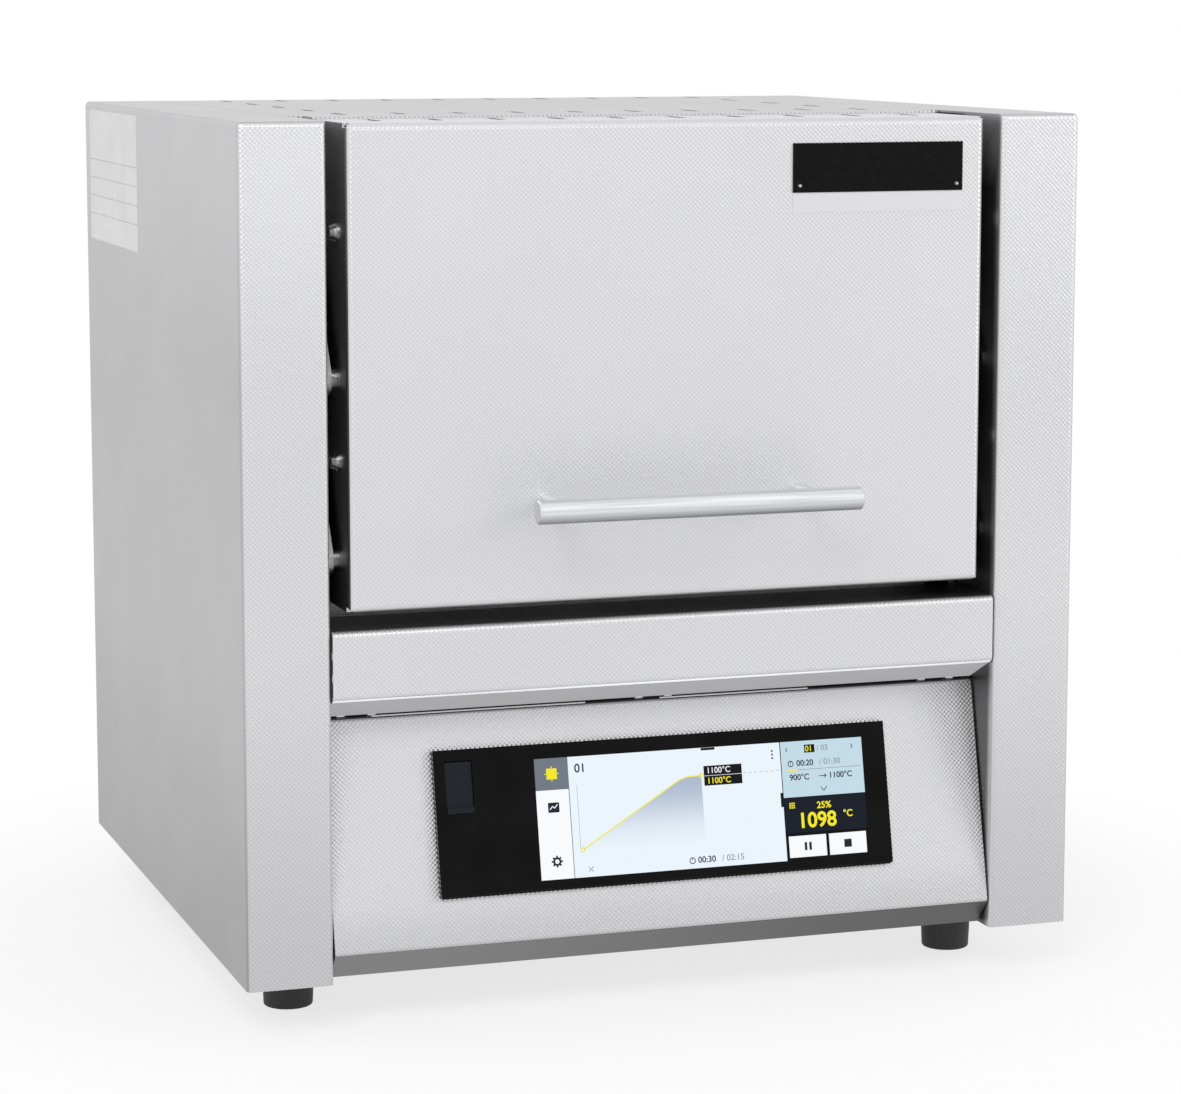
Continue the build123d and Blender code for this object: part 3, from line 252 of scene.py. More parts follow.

# How far the painted shade takes to change, and how far from the casing's edges it starts or ends
SIDE_FADE = 150 * MM
FRONT_FADE = 160 * MM
TOP_FADE = 120 * MM
FLANK_FADE = 100 * MM
APRON_HALF = 150 * MM
FLANGE_DEPTH = 7 * MM
SHEET_EDGE = 0.5 * MM
SIDE_PANEL_EDGE = 5 * MM
SHELF_START = 3 * MM

# Levels of the crossbar's lower face, of the apron's upper edge and of the painted shade at the panel's foot
DRIP_FOOT = 136.4 * MM
DRIP_TOP = 148.3 * MM
APRON_TOP = 36.4 * MM
PANEL_SHADE_LOW = 37 * MM
PANEL_SHADE_HIGH = 60 * MM


def casing_painted_shading(steel):
    """Painted shade on the casing: sides and front faces darker towards the foot and lighter near the top, a
    darker top face, and dark inner flanges beside the door with painted light near their upper ends.
    """
    x, y, z = steel.axes(steel.place)
    top_start = case_high.z - TOP_FADE
    side = steel.math("ADD", steel.ramp(z, *SIDE_PAINTED_SHADE, case_low.z, case_low.z + SIDE_FADE),
                      steel.ramp(z, 0.0, 0.13, top_start, case_high.z))
    front = steel.math("ADD", steel.ramp(z, *FRONT_PAINTED_SHADE, case_low.z, case_low.z + FRONT_FADE),
                       steel.ramp(z, 0.0, 0.07, top_start, case_high.z))
    flange = steel.ramp(y, *FLANGE_PAINTED_SHADE, case_low.y + SHEET_EDGE, case_low.y + FLANGE_DEPTH)
    flange_painted_light = steel.ramp(z, 0.0, 0.75, case_high.z - 40 * MM, case_high.z - 12 * MM)
    flange = steel.math("MAXIMUM", flange, flange_painted_light)
    inner = steel.math("LESS_THAN", steel.math("ABSOLUTE", x), case_high.x - SIDE_PANEL_EDGE)
    across = steel.choose(inner, flange, side)
    upward = steel.choose(steel.facing(2), TOP_PAINTED_SHADE, front)
    return steel.choose(steel.facing(0), across, upward)


def drip_mask(steel):
    """One on the crossbar's lower face, nought elsewhere."""
    z = steel.axes(steel.place)[2]
    below_top = steel.math("LESS_THAN", z, DRIP_TOP)
    return steel.math("MULTIPLY", below_top, steel.math("GREATER_THAN", z, DRIP_FOOT))


def front_painted_shading(steel):
    """Painted shade on the crossbar's shelf, on the apron under the control panel, towards the panel's foot
    and a little on the crossbar's front, and painted light on the crossbar's lower face.
    """
    x, y, z = steel.axes(steel.place)
    apron = steel.math("LESS_THAN", z, APRON_TOP)
    apron_painted_shade = steel.ramp(x, *APRON_PAINTED_SHADE, -APRON_HALF, APRON_HALF)
    behind_edge = steel.math("GREATER_THAN", y, case_low.y + SHELF_START)
    shelf = steel.math("MULTIPLY", steel.facing(2), behind_edge)
    panel = steel.ramp(z, *PANEL_PAINTED_SHADE, PANEL_SHADE_LOW, PANEL_SHADE_HIGH)
    painted_front_tone = steel.choose(steel.math("GREATER_THAN", z, DRIP_TOP), CROSSBAR_PAINTED_SHADE, panel)
    painted_front_tone = steel.choose(drip_mask(steel), DRIP_PAINTED_LIGHT, painted_front_tone)
    return steel.choose(apron, apron_painted_shade, steel.choose(shelf, SHELF_PAINTED_SHADE, painted_front_tone))


def door_painted_shading(steel):
    """Painted shade on the door's flanks, which face the pillars, lifted by painted light near their top."""
    z = steel.axes(steel.place)[2]
    flank_painted_shade = steel.ramp(z, *FLANK_PAINTED_SHADE, door_high.z - FLANK_FADE, door_high.z)
    return steel.choose(steel.facing(0), flank_painted_shade, 1.0)


# Other materials

LINE_DEPTH = 0.01 * MM


def brushed_metal(name, colour, roughness, stretch):
    """Metal with fine lines along the axis where stretch is small."""
    metal = Surface(name, colour, roughness, metallic=1.0)
    lines = metal.noise(900.0, 3.0, stretch)
    metal.tint(metal.mix(metal.ramp(lines, 0.0, 1.0, 0.3, 0.7), soften(colour, 0.93), soften(colour, 1.05)))
    metal.rough(metal.ramp(lines, roughness - 0.05, roughness + 0.08, 0.3, 0.7))
    metal.bump(lines, LINE_DEPTH)
    return metal


def grainy(name, colour, roughness, scale, depth, contrast, **inputs):
    """Plastic, rubber, ceramic or fibre with an even fine grain."""
    surface = Surface(name, colour, roughness, **inputs)
    grain = surface.noise(scale, 4.0)
    surface.tint(surface.mix(surface.ramp(grain, 0.0, 1.0, 0.3, 0.7),
                             soften(colour, 1 - contrast), soften(colour, 1 + contrast)))
    surface.bump(grain, depth)
    return surface


casing_steel = embossed_steel("casing_steel", casing_painted_shading, weights=(0.0, 1.0, 0.0))

# The crossbar's lower face mirrors the dark joint, so it is rougher and gives off a little light: a painted
# glow
DRIP_ROUGHNESS = 0.75
DRIP_PAINTED_GLOW = 0.52
front_steel = embossed_steel("front_steel", front_painted_shading)
front_steel.rough(front_steel.choose(drip_mask(front_steel), DRIP_ROUGHNESS, SHEET_ROUGHNESS))
front_steel.set("Emission Color", (*STEEL, 1.0))
front_steel.feed(front_steel.shader.inputs["Emission Strength"],
                 front_steel.math("MULTIPLY", drip_mask(front_steel), DRIP_PAINTED_GLOW))
door_steel = embossed_steel("door_steel", door_painted_shading, depth=0.07 * MM)
plain_steel = brushed_metal("plain_steel", (0.52, 0.52, 0.53), 0.34, (1, 1, 0.03))
dark_steel = brushed_metal("dark_steel", (0.28, 0.28, 0.28), 0.22, (0.03, 1, 1))
handle_steel = brushed_metal("handle_steel", (0.70, 0.71, 0.73), 0.38, (0.02, 1, 1))
# The handle's colour darkens towards its underside: painted shade
handle_tone = handle_steel.shader.inputs["Base Color"].links[0].from_socket
handle_painted_shade = handle_steel.ramp(handle_steel.axes(handle_steel.normal)[2], 0.55, 1.0, -0.8, 0.1)
handle_steel.tint(handle_steel.scaled(handle_tone, handle_painted_shade))
fastener_steel = brushed_metal("fastener_steel", (0.60, 0.60, 0.61), 0.22, (1, 1, 1))
spring_steel = brushed_metal("spring_steel", (0.18, 0.18, 0.19), 0.35, (1, 1, 1))
aluminium = brushed_metal("aluminium", (0.62, 0.63, 0.64), 0.4, (1, 0.03, 1))
fibre = grainy("fibre_board", (0.86, 0.84, 0.79), 0.95, 320.0, 0.00025, 0.06)
heater_ceramic = grainy("heater_ceramic", (0.74, 0.70, 0.62), 0.85, 500.0, 0.0001, 0.08)
floor_ceramic = grainy("floor_ceramic", (0.66, 0.60, 0.50), 0.8, 260.0, 0.0001, 0.12)
tube_ceramic = grainy("tube_ceramic", (0.82, 0.78, 0.70), 0.5, 400.0, 0.00002, 0.05)
foot_rubber = grainy("foot_rubber", (0.022, 0.022, 0.022), 0.62, 700.0, 0.00004, 0.3)
black_plastic = grainy("black_plastic", (0.02, 0.02, 0.022), 0.45, 1200.0, 0.00003, 0.2)
board_green = grainy("board_green", (0.03, 0.16, 0.07), 0.4, 600.0, 0.00002, 0.2)
flap_plastic = grainy("flap_plastic", (0.01, 0.013, 0.017), 0.5, 1600.0, 0.00002, 0.15,
                      Specular_IOR_Level=0.1)
black_glass = grainy("black_glass", (0.003, 0.003, 0.0035), 0.1, 60.0, 0.000001, 0.3, Specular_IOR_Level=0.08)
badge_black = grainy("badge_black", (0.004, 0.004, 0.004), 0.3, 500.0, 0.000004, 0.3, Specular_IOR_Level=0.08)

# Ruled lines of the side label, as shares of its height and length
LABEL_ROWS = (0.20, 0.34, 0.48, 0.62)
LABEL_COLUMNS = (0.30, 0.52, 0.76)
LABEL_LINE = 0.25 * MM


def label_foil():
    """Silver foil with thin ruled lines."""
    foil = Surface("label_foil", (0.69, 0.69, 0.70), 0.3, metallic=0.3)
    low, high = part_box("side_label")
    across, up = foil.axes(foil.place)[1], foil.axes(foil.place)[2]
    ruled = 0.0
    rows = [low.z + share * (high.z - low.z) for share in LABEL_ROWS]
    columns = [low.y + share * (high.y - low.y) for share in LABEL_COLUMNS]
    for row in rows:
        offset = foil.math("ABSOLUTE", foil.math("SUBTRACT", up, row))
        ruled = foil.math("MAXIMUM", foil.math("LESS_THAN", offset, LABEL_LINE), ruled)
    for column in columns:
        offset = foil.math("ABSOLUTE", foil.math("SUBTRACT", across, column))
        inside = foil.math("MULTIPLY", foil.math("LESS_THAN", offset, LABEL_LINE),
                           foil.math("LESS_THAN", up, rows[-1]))
        above = foil.math("GREATER_THAN", up, rows[0])
        ruled = foil.math("MAXIMUM", foil.math("MULTIPLY", inside, above), ruled)
    foil.tint(foil.mix(ruled, (0.70, 0.70, 0.71), (0.42, 0.42, 0.43)))
    foil.rough(foil.ramp(foil.noise(40.0, 3.0), 0.26, 0.36, 0.3, 0.7))
    return foil


finishes = {
    casing_steel: ("left_side_panel", "right_side_panel", "top_panel", "rear_panel"),
    front_steel: ("front_crossbar", "control_panel"),
    door_steel: ("door_shell",),
    plain_steel: ("base_tray", "inner_housing", "door_back_plate", "door_brackets", "left_hinge_plate",
                  "right_hinge_plate", "left_upper_arm", "right_upper_arm", "left_lower_arm",
                  "right_lower_arm", "exhaust_spigot", "thermocouple_head"),
    dark_steel: ("collar_plate", "mid_shelf"),
    fastener_steel: ("upper_arm_shafts", "lower_arm_pins", "door_bolts", "door_pivot_pins", "handle_screws",
                     "rear_screws", "foot_studs", "heater_terminals", "badge_rivets", "switch_magnet"),
    handle_steel: ("door_handle", "handle_posts"),
    fibre: ("left_lining", "right_lining", "floor_lining", "roof_lining", "rear_lining", "door_lining"),
    heater_ceramic: ("left_heating_plate", "right_heating_plate"),
    floor_ceramic: ("floor_plate",),
    tube_ceramic: ("thermocouple_sheath", "exhaust_tube"),
    foot_rubber: ("rubber_feet",),
    black_glass: ("controller_glass", "display_module"),
    black_plastic: ("controller_housing", "mains_inlet", "mains_rocker", "door_switch", "solid_state_relay"),
    flap_plastic: ("usb_cover",),
    board_green: ("controller_board",),
    aluminium: ("relay_heat_sink", "power_supply", "usb_socket"),
    badge_black: ("badge_plate",),
    label_foil(): ("side_label",),
    spring_steel: ("door_springs",),
}
for surface, names in finishes.items():
    for name in names:
        for slot in nodes[name].material_slots:
            slot.material = surface.material


# Pieces built here

def add_piece(name, mesh, surface, body):
    """Puts a finished mesh into the scene, riding on a body."""
    piece = bpy.data.objects.new(name, mesh)
    bpy.context.scene.collection.objects.link(piece)
    mesh.materials.clear()
    mesh.materials.append(surface.material)
    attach(piece, body)
    return piece


def joined(parts):
    """One mesh from lists of corners and faces."""
    corners, faces = [], []
    for part_corners, part_faces in parts:
        faces += [[index + len(corners) for index in face] for face in part_faces]
        corners += part_corners
    mesh = bpy.data.meshes.new("drawn")
    mesh.from_pydata(corners, [], faces)
    mesh.update()
    return mesh


# Display picture, drawn in the tilted plane of the control panel in millimetres: u to the right,
# w up the panel, and each layer a little in front of the one before. The tilt is in radians. SCREEN
# holds the screen's left, right, lower and upper edge, and SCREEN_FACE its distance from the panel

PANEL_TILT = 0.21596
PANEL_FOOT = Vector((0, -158.675, 36.5))
SCREEN = (-59.5, 96.0, 25.4, 78.6)
SCREEN_FACE = 2.95
LAYER = 0.008
SCREEN_GLOW = 0.9
UNLIT_SHARE = 0.08
FIGURE_SCALE = 1.42


def on_panel(u, w, out):
    """A point u across, w up and out in front of the middle of the panel's foot."""
    back, rise = sin(PANEL_TILT), cos(PANEL_TILT)
    return (PANEL_FOOT + Vector((u, w * back - out * rise, w * rise + out * back))) * MM


class Ink:
    """Flat shapes of one colour on the display, gathered into one piece."""

    def __init__(self, name, colour, layer):
        self.name = name
        self.out = SCREEN_FACE + layer * LAYER
        self.parts = []
        self.surface = Surface(name, soften(colour, UNLIT_SHARE), 0.2, Specular_IOR_Level=0.03)
        self.surface.set("Emission Color", (*colour, 1.0))
        self.surface.set("Emission Strength", SCREEN_GLOW)

    def shape(self, points):
        corners = [on_panel(u, w, self.out) for u, w in points]
        self.parts.append((corners, [list(range(len(corners)))]))

    def block(self, u0, u1, w0, w1, corner=0.0):
        if corner == 0.0:
            self.shape([(u0, w0), (u1, w0), (u1, w1), (u0, w1)])
            return
        points = []
        for centre_u, centre_w, start in ((u1 - corner, w0 + corner, -90), (u1 - corner, w1 - corner, 0),
                                          (u0 + corner, w1 - corner, 90), (u0 + corner, w0 + corner, 180)):
            for step in range(5):
                angle = radians(start + 22.5 * step)
                points.append((centre_u + corner * cos(angle), centre_w + corner * sin(angle)))
        self.shape(points)

    def stroke(self, points, width):
        """A line of even width through several points."""
        for (u0, w0), (u1, w1) in zip(points, points[1:]):
            run = Vector((u1 - u0, w1 - w0))
            side = Vector((-run.y, run.x)).normalized() * width / 2
            self.shape([(u0 - side.x, w0 - side.y), (u1 - side.x, w1 - side.y),
                        (u1 + side.x, w1 + side.y), (u0 + side.x, w0 + side.y)])

    def disc(self, u, w, radius, hole=0.0, steps=20):
        """A filled circle, or a ring where it has a hole."""
        for step in range(steps):
            angles = (2 * pi * step / steps, 2 * pi * (step + 1) / steps)
            ring = [(u + r * cos(a), w + r * sin(a)) for r, a in
                    ((radius, angles[0]), (radius, angles[1]), (hole, angles[1]), (hole, angles[0]))]
            self.shape(ring if hole else ring[:3])

    def text(self, words, u, w, height, weight):
        """Figures that start at u and stand on w; the weight thickens their strokes."""
        curve = bpy.data.curves.new("figures", "FONT")
        curve.body = words
        curve.size = height * FIGURE_SCALE
        curve.offset = weight
        curve.fill_mode = "FRONT"
        holder = bpy.data.objects.new("figures", curve)
        bpy.context.scene.collection.objects.link(holder)
        flat = bpy.data.meshes.new_from_object(holder)
        corners = [on_panel(u + vertex.co.x, w + vertex.co.y, self.out) for vertex in flat.vertices]
        self.parts.append((corners, [list(face.vertices) for face in flat.polygons]))
        bpy.data.objects.remove(holder)
        bpy.data.curves.remove(curve)
        bpy.data.meshes.remove(flat)

    def finish(self):
        add_piece(self.name, joined(self.parts), self.surface, "root")


white_ink = Ink("screen_white", (0.95, 0.97, 0.99), 1)
pale_ink = Ink("screen_pale", (0.84, 0.92, 0.98), 1)
tile_ink = Ink("screen_tile", (0.56, 0.72, 0.82), 1)
navy_ink = Ink("screen_navy", (0.012, 0.016, 0.025), 1)
tag_ink = Ink("screen_tag", (0.012, 0.012, 0.015), 3)
dark_ink = Ink("screen_dark", (0.02, 0.025, 0.04), 2)
grey_ink = Ink("screen_grey", (0.30, 0.34, 0.38), 2)
yellow_ink = Ink("screen_yellow", (0.93, 0.82, 0.03), 4)
light_ink = Ink("screen_light", (0.92, 0.94, 0.96), 4)
fill_ink = Ink("screen_fill", (0.55, 0.63, 0.74), 2)
tile_grey_ink = Ink("screen_icon_tile", (0.17, 0.20, 0.24), 2)

LINE_TEXT = 2.6
VALUE_TEXT = 2.7
HAND_WIDTH = 0.3


def spokes(ink, u, w, inner, outer, width):
    """Eight short strokes round a centre, the rays of a sun or the teeth of a cog."""
    for turn in range(8):
        angle = radians(45 * turn)
        ink.stroke([(u + reach * cos(angle), w + reach * sin(angle)) for reach in (inner, outer)], width)


def clock(u, w, radius, hole):
    """A ring with one hand that points up."""
    dark_ink.disc(u, w, radius, hole)
    dark_ink.stroke([(u, w), (u, w + hole)], HAND_WIDTH)


# The two grounds of the picture: the white column of icons, and the pale field of the curve
screen_left, screen_right, screen_low, screen_high = SCREEN
column_right = screen_left + 15.5
tile_left = 56.6
white_ink.block(screen_left, column_right, screen_low, screen_high)
pale_ink.block(column_right, tile_left - 0.4, screen_low, screen_high)

# Icons in the left column: a lit sun tile, a small chart and a cog
icon_u = (screen_left + column_right) / 2
sun_w = 71.7
cog_w = 33.2
sun_tile_low = 64.6
tile_grey_ink.block(screen_left, column_right, sun_tile_low, screen_high)
tile_grey_ink.block(column_right - 0.35, column_right, screen_low, sun_tile_low)
yellow_ink.block(icon_u - 2.4, icon_u + 2.4, sun_w - 2.4, sun_w + 2.4, 0.5)
spokes(yellow_ink, icon_u, sun_w, 2.6, 3.3, 0.5)
dark_ink.block(icon_u - 2.6, icon_u + 2.6, 54.7, 59.1, 0.4)
chart_points = [(icon_u - 1.8, 56.0), (icon_u - 0.5, 57.5), (icon_u + 0.4, 56.6), (icon_u + 1.8, 58.2)]
light_ink.stroke(chart_points, 0.45)
dark_ink.disc(icon_u, cog_w, 1.9, 1.0)
spokes(dark_ink, icon_u, cog_w, 1.7, 2.6, 0.8)

# Programme curve with its shaded area, end points, guide line and value tags
axis_u = -40.5
curve_foot = 37.5
curve_points = [(-39.5, curve_foot), (4.0, 63.0), (8.0, 65.2), (11.5, 66.2), (18.0, 66.4)]
fill_ink.shape(curve_points + [(curve_points[-1][0], curve_foot)])
yellow_ink.stroke(curve_points, 0.55)
for u, w in (curve_points[0], curve_points[-1]):
    yellow_ink.disc(u, w, 1.15, 0.65)
grey_ink.stroke([(axis_u, 36.0), (axis_u, 66.0)], 0.18)
for dash in range(7):
    dash_u = 38.0 + 2.6 * dash
    grey_ink.block(dash_u, dash_u + 1.4, 66.0, 66.2)
tag_ink.block(19.3, 37.4, 61.6, 65.9)
tag_ink.block(19.3, 37.4, 66.1, 70.4)
light_ink.text("1100°C", 20.6, 67.1, LINE_TEXT, 0.04)
yellow_ink.text("1100°C", 20.6, 62.5, LINE_TEXT, 0.06)
dark_ink.text("01", -41.2, 71.6, 3.8, 0.08)
tag_ink.block(18.6, 25.2, 77.4, 78.5)
for dot in range(3):
    dark_ink.disc(52.4, 71.8 + 1.6 * dot, 0.45)
tag_ink.block(55.1, 56.4, 49.6, 56.0)
grey_ink.stroke([(-37.4, 27.6), (-35.2, 29.8)], 0.35)
grey_ink.stroke([(-37.4, 29.8), (-35.2, 27.6)], 0.35)
clock(11.2, 28.9, 1.5, 1.1)
dark_ink.text("00:30", 13.8, 27.8, VALUE_TEXT, 0.07)
grey_ink.text("/ 02:15", 25.2, 27.8, VALUE_TEXT, 0.04)

# Right column: programme number, times and set points over the dark temperature tile and two buttons
tile_ink.block(tile_left, screen_right, 53.6, screen_high)
dark_ink.stroke([(59.8, 74.0), (59.0, 74.9), (59.8, 75.8)], 0.35)
dark_ink.stroke([(90.6, 74.0), (91.4, 74.9), (90.6, 75.8)], 0.35)
tag_ink.block(68.0, 73.0, 73.2, 76.8)
yellow_ink.text("01", 68.4, 73.8, 2.5, 0.05)
grey_ink.text("/ 03", 74.0, 73.8, 2.5, 0.04)
clock(61.0, 68.6, 1.4, 1.0)
dark_ink.text("00:20", 63.8, 67.5, LINE_TEXT, 0.07)
grey_ink.text("/ 01:30", 74.8, 67.5, LINE_TEXT, 0.04)
grey_ink.block(59.0, 94.6, 65.6, 65.85)
yellow_ink.block(59.0, 64.4, 65.45, 66.0)
dark_ink.text("900°C", 60.0, 61.2, LINE_TEXT, 0.07)
dark_ink.stroke([(74.4, 62.4), (77.8, 62.4)], 0.35)
dark_ink.stroke([(76.8, 61.6), (77.8, 62.4), (76.8, 63.2)], 0.35)
dark_ink.text("1100°C", 79.0, 61.2, LINE_TEXT, 0.07)
dark_ink.stroke([(74.8, 57.6), (76.2, 55.6), (77.6, 57.6)], 0.35)
navy_ink.block(tile_left, screen_right, 37.6, 53.2)
square = 0.7
square_step = 0.95
for row in range(3):
    for column in range(3):
        square_u, square_w = 59.0 + square_step * column, 48.6 + square_step * row
        yellow_ink.block(square_u, square_u + square, square_w, square_w + square)
yellow_ink.text("25%", 72.2, 48.0, 2.9, 0.1)
yellow_ink.text("1098", 62.6, 39.8, 6.6, 0.22)
yellow_ink.text("°C", 84.6, 43.4, 3.0, 0.09)
white_ink.block(57.6, 75.6, 26.6, 36.2)
white_ink.block(77.0, 95.0, 26.6, 36.2)
sign_low, sign_high = 29.6, 33.2
for u in (65.0, 67.2):
    dark_ink.block(u, u + 1.2, sign_low, sign_high)
dark_ink.block(84.2, 87.8, sign_low, sign_high)
for ink in (white_ink, pale_ink, tile_ink, tile_grey_ink, navy_ink, tag_ink, dark_ink, grey_ink, yellow_ink,
            light_ink):
    ink.finish()

# The area under the curve fades into the pale field towards its foot
fill = fill_ink.surface
fill_height = fill.ramp(fill.axes(fill.place)[2], 0.0, 1.0, on_panel(0, 38.0, 0).z, on_panel(0, 66.0, 0).z)
fill.feed(fill.shader.inputs["Emission Color"], fill.mix(fill_height, (0.84, 0.92, 0.98), (0.42, 0.50, 0.62)))
fill_ink.finish()


# Bare pale strip under the badge

def strip_mesh(x0, x1, y0, y1, z0, z1, corner):
    """A thin plate facing -Y with a small chamfer round its front."""
    back = [(x0, y1, z0), (x1, y1, z0), (x1, y1, z1), (x0, y1, z1)]
    waist = [(x, y0 + corner, z) for x, _, z in back]
    face = [(x0 + corner, y0, z0 + corner), (x1 - corner, y0, z0 + corner),
            (x1 - corner, y0, z1 - corner), (x0 + corner, y0, z1 - corner)]
    faces = [[3, 2, 1, 0], [8, 9, 10, 11]]
    for start in (0, 4):
        faces += [[start + i, start + (i + 1) % 4, start + 4 + (i + 1) % 4, start + 4 + i] for i in range(4)]
    return joined([(back + waist + face, faces)])


EDGE_CHAMFER = 0.05 * MM
STRIP_HEIGHT = 8.9 * MM
STRIP_THICKNESS = 0.2 * MM
badge_low, badge_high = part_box("badge_plate")
strip_surface = Surface("badge_strip", (0.66, 0.66, 0.68), 0.4, metallic=0.3)
strip_surface.rough(strip_surface.ramp(strip_surface.noise(60.0), 0.34, 0.46, 0.3, 0.7))
strip = strip_mesh(badge_low.x, badge_high.x, door_low.y - STRIP_THICKNESS, door_low.y,
                   badge_low.z - STRIP_HEIGHT, badge_low.z, EDGE_CHAMFER)
add_piece("badge_strip", strip, strip_surface, "door")


# Dark sheets of painted shade behind the front faces at the crossbar's two ends, which keep the light out of
# the joint

crossbar_low, crossbar_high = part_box("front_crossbar")
SHADE_SHEET_WIDTH = 0.65 * MM
SHADE_SHEET_FRONT = crossbar_low.y + 1.5 * MM
SHADE_SHEET_BACK = crossbar_low.y + 4.5 * MM
joint_shade_sheet = grainy("joint_shade_sheet", (0.03, 0.03, 0.03), 0.7, 900.0, 0.00003, 0.2, Specular_IOR_Level=0.2)
for side, edge, sign in (("left", crossbar_low.x, -1), ("right", crossbar_high.x, 1)):
    near, far = sorted((edge, edge + sign * SHADE_SHEET_WIDTH))
    shade_sheet = strip_mesh(near, far, SHADE_SHEET_FRONT, SHADE_SHEET_BACK,
                      DRIP_TOP - 1 * MM, crossbar_high.z - 0.3 * MM, EDGE_CHAMFER)
    add_piece(side + "_crossbar_shade_sheet", shade_sheet, joint_shade_sheet, "root")


# Folded edge that closes most of the joint between the crossbar and the control panel; the panel's
# height is in the millimetres of on_panel

PANEL_HEIGHT = 99.7
LIP_THICKNESS = 0.6 * MM
panel_top = on_panel(0, PANEL_HEIGHT / cos(PANEL_TILT), 0)
for side, start, end in (("left", -131.0 * MM, -33.0 * MM), ("right", 2.0 * MM, 73.0 * MM)):
    lip = strip_mesh(start, end, panel_top.y - 0.05 * MM, panel_top.y + LIP_THICKNESS,
                     panel_top.z - 0.3 * MM, DRIP_FOOT + 0.05 * MM, EDGE_CHAMFER)
    add_piece(side + "_joint_lip", lip, front_steel, "root")


# Counterbalance springs: a copy of the same coils, standing in for the hidden CAD node

spring_mesh = nodes["door_springs"].data.copy()
springs = add_piece("counterbalance_springs", spring_mesh, spring_steel, "root")
springs.parent = None
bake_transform(springs)
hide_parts("door_springs")


# Heating wires coiled in the grooves of the heating plates

def coil_wire(start, end, coil_radius, wire_radius, pitch, steps=8, sides=5):
    """A helix of wire from start to end along Y."""
    turns = int((end.y - start.y) / pitch)
    count = turns * steps
    rings = []
    for index in range(count + 1):
        angle = 2 * pi * index / steps
        centre = Vector((start.x + coil_radius * cos(angle), start.y + (end.y - start.y) * index / count,
                         start.z + coil_radius * sin(angle)))
        outward = Vector((cos(angle), 0, sin(angle)))
        for side in range(sides):
            turn = 2 * pi * side / sides
            rings.append(centre + outward * wire_radius * cos(turn) + Vector((0, wire_radius * sin(turn), 0)))
    faces = []
    for index in range(count):
        for side in range(sides):
            first, second = index * sides + side, index * sides + (side + 1) % sides
            faces.append([first, second, second + sides, first + sides])
    faces.append(list(range(sides))[::-1])
    faces.append(list(range(count * sides, (count + 1) * sides)))
    return rings, faces


wire_metal = Surface("heating_wire", (0.20, 0.17, 0.14), 0.55, metallic=0.8)
wire_metal.rough(wire_metal.ramp(wire_metal.noise(300.0), 0.45, 0.65, 0.3, 0.7))
plate_low, plate_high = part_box("right_heating_plate")
GROOVES = 7
FLOOR_PLATE = 8 * MM
GROOVE_DEPTH = 1.6 * MM
END_GAP = 8 * MM
COIL_RADIUS = 1.15 * MM
WIRE_RADIUS = 0.3 * MM
COIL_PITCH = 1.5 * MM
groove_pitch = (plate_high.z - plate_low.z - FLOOR_PLATE) / (GROOVES + 1)
wires = []
for sign in (-1, 1):
    x = sign * (plate_low.x + GROOVE_DEPTH)
    for groove in range(GROOVES):
        level = plate_low.z + FLOOR_PLATE + (groove + 1) * groove_pitch
        front_end = Vector((x, plate_low.y + END_GAP, level))
        rear_end = Vector((x, plate_high.y - END_GAP, level))
        wires.append(coil_wire(front_end, rear_end, COIL_RADIUS, WIRE_RADIUS, COIL_PITCH))
add_piece("heating_wires", joined(wires), wire_metal, "root")


# Camera at the photograph's place

camera_data = bpy.data.cameras.new("camera")
camera = bpy.data.objects.new("camera", camera_data)
bpy.context.scene.collection.objects.link(camera)
bpy.context.scene.camera = camera
CAMERA_PLACE = Vector((-0.52424, -1.61767, 0.44204))
CAMERA_TURN = radians(18.4385)
CAMERA_DIP = radians(7.6622)
camera_data.sensor_width = 36.0
camera_data.lens = 109.188
camera_data.shift_y = -0.05
camera_data.clip_start = 0.01
view = Vector((sin(CAMERA_TURN) * cos(CAMERA_DIP), cos(CAMERA_TURN) * cos(CAMERA_DIP), -sin(CAMERA_DIP)))
camera.location = CAMERA_PLACE
camera.rotation_euler = view.to_track_quat("-Z", "Y").to_euler()


# Floor, world and lamps: lengths in metres and lamp powers in watts

AMBIENT_STRENGTH = 0.55
FLOOR_REACH = 12.0
FADE_START = 0.16
FADE_END = 0.45
LAMP_TARGET = (0, 0, 0.2)


def background_ray(tree):
    """One for camera, glossy and transmission rays, nought for the rest."""
    path = tree.nodes.new("ShaderNodeLightPath")
    total = path.outputs["Is Camera Ray"]
    for other in ("Is Glossy Ray", "Is Transmission Ray"):
        highest = tree.nodes.new("ShaderNodeMath")
        highest.operation = "MAXIMUM"
        tree.links.new(total, highest.inputs[0])
        tree.links.new(path.outputs[other], highest.inputs[1])
        total = highest.outputs[0]
    return total


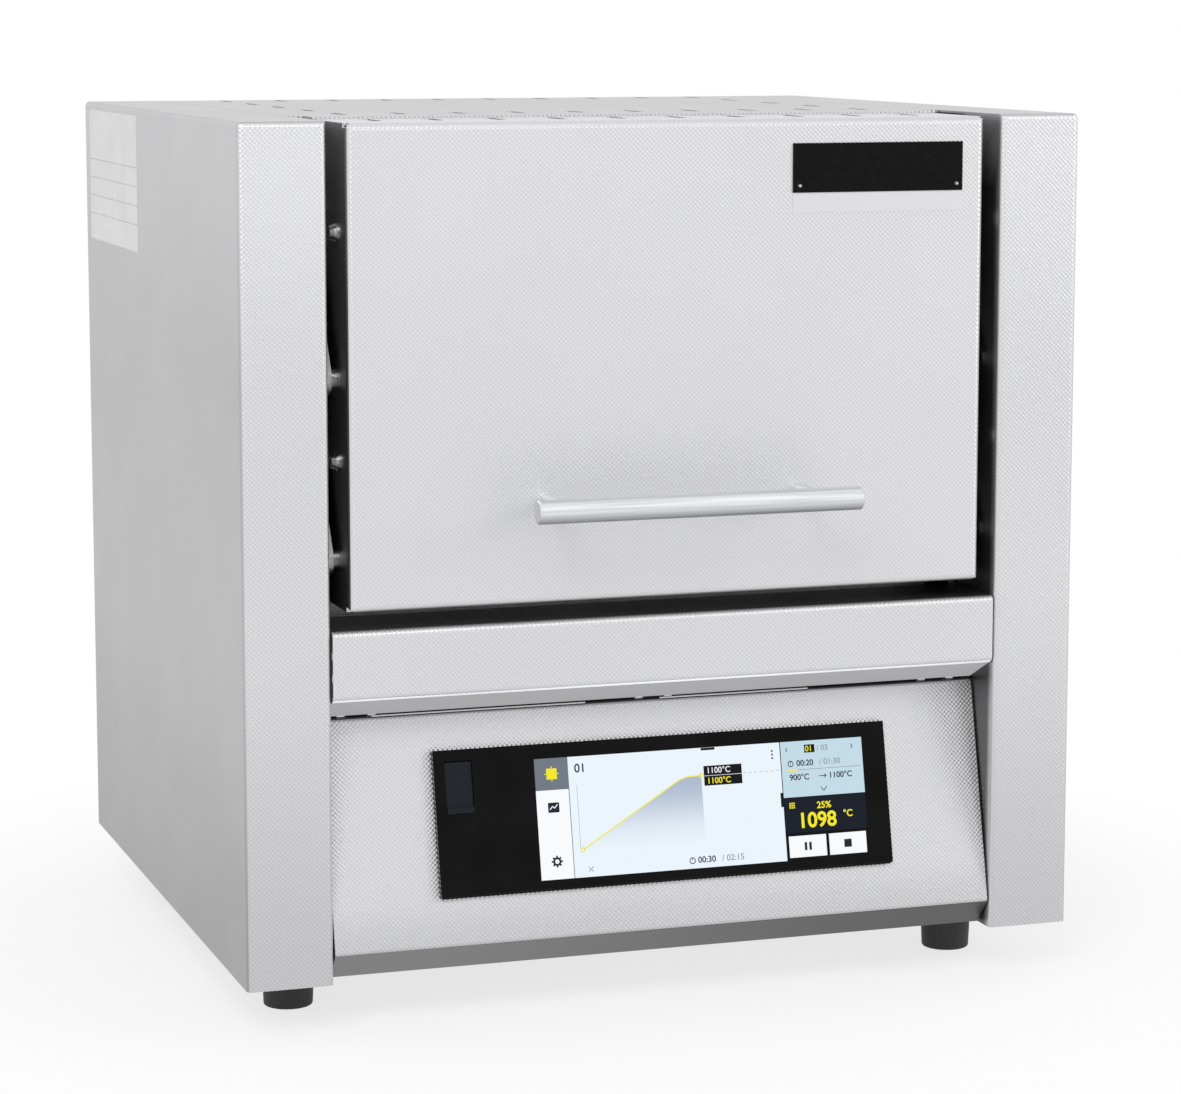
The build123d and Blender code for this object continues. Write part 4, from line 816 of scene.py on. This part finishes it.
world = bpy.data.worlds.new("studio")
world.use_nodes = True
bpy.context.scene.world = world
ambient = world.node_tree.nodes["Background"]
ambient.inputs["Color"].default_value = (1, 1, 1, 1)
ambient.inputs["Strength"].default_value = AMBIENT_STRENGTH
backdrop = world.node_tree.nodes.new("ShaderNodeBackground")
backdrop.inputs["Color"].default_value = (1, 1, 1, 1)
choice = world.node_tree.nodes.new("ShaderNodeMixShader")
world.node_tree.links.new(background_ray(world.node_tree), choice.inputs[0])
world.node_tree.links.new(ambient.outputs[0], choice.inputs[1])
world.node_tree.links.new(backdrop.outputs[0], choice.inputs[2])
world.node_tree.links.new(choice.outputs[0], world.node_tree.nodes["World Output"].inputs[0])

floor_mesh = bpy.data.meshes.new("floor")
floor_mesh.from_pydata([(-FLOOR_REACH, -FLOOR_REACH, 0), (FLOOR_REACH, -FLOOR_REACH, 0),
                        (FLOOR_REACH, FLOOR_REACH, 0), (-FLOOR_REACH, FLOOR_REACH, 0)], [], [[0, 1, 2, 3]])
floor = bpy.data.objects.new("floor", floor_mesh)
bpy.context.scene.collection.objects.link(floor)
floor.location.z = CAD_BOX[0][2]
floor_surface = Surface("floor", (0.88, 0.88, 0.88), 0.9)
distance = floor_surface.node("ShaderNodeVectorMath", operation="LENGTH")
floor_surface.feed(distance.inputs[0], floor_surface.place)
fade = floor_surface.ramp(distance.outputs["Value"], 0.72, 1.0, FADE_START, FADE_END)
glow = floor_surface.node("ShaderNodeEmission")
floor_mix = floor_surface.node("ShaderNodeMixShader")
white_share = floor_surface.math("MULTIPLY", fade, background_ray(floor_surface.tree))
floor_surface.feed(floor_mix.inputs[0], white_share)
floor_surface.feed(floor_mix.inputs[1], floor_surface.shader.outputs[0])
floor_surface.feed(floor_mix.inputs[2], glow.outputs[0])
floor_surface.feed(floor_surface.tree.nodes["Material Output"].inputs["Surface"], floor_mix.outputs[0])
floor_mesh.materials.append(floor_surface.material)


def soft_lamp(name, place, size, power):
    lamp_data = bpy.data.lights.new(name, "AREA")
    lamp_data.shape = "DISK"
    lamp_data.size = size
    lamp_data.energy = power
    lamp = bpy.data.objects.new(name, lamp_data)
    bpy.context.scene.collection.objects.link(lamp)
    lamp.location = place
    lamp.rotation_euler = (Vector(LAMP_TARGET) - Vector(place)).to_track_quat("-Z", "Y").to_euler()


soft_lamp("key", place=(-1.3, -2.2, 2.2), size=1.4, power=45.0)
soft_lamp("fill", place=(2.2, -1.6, 1.2), size=1.2, power=16.0)

bpy.context.scene.view_settings.view_transform = "Standard"
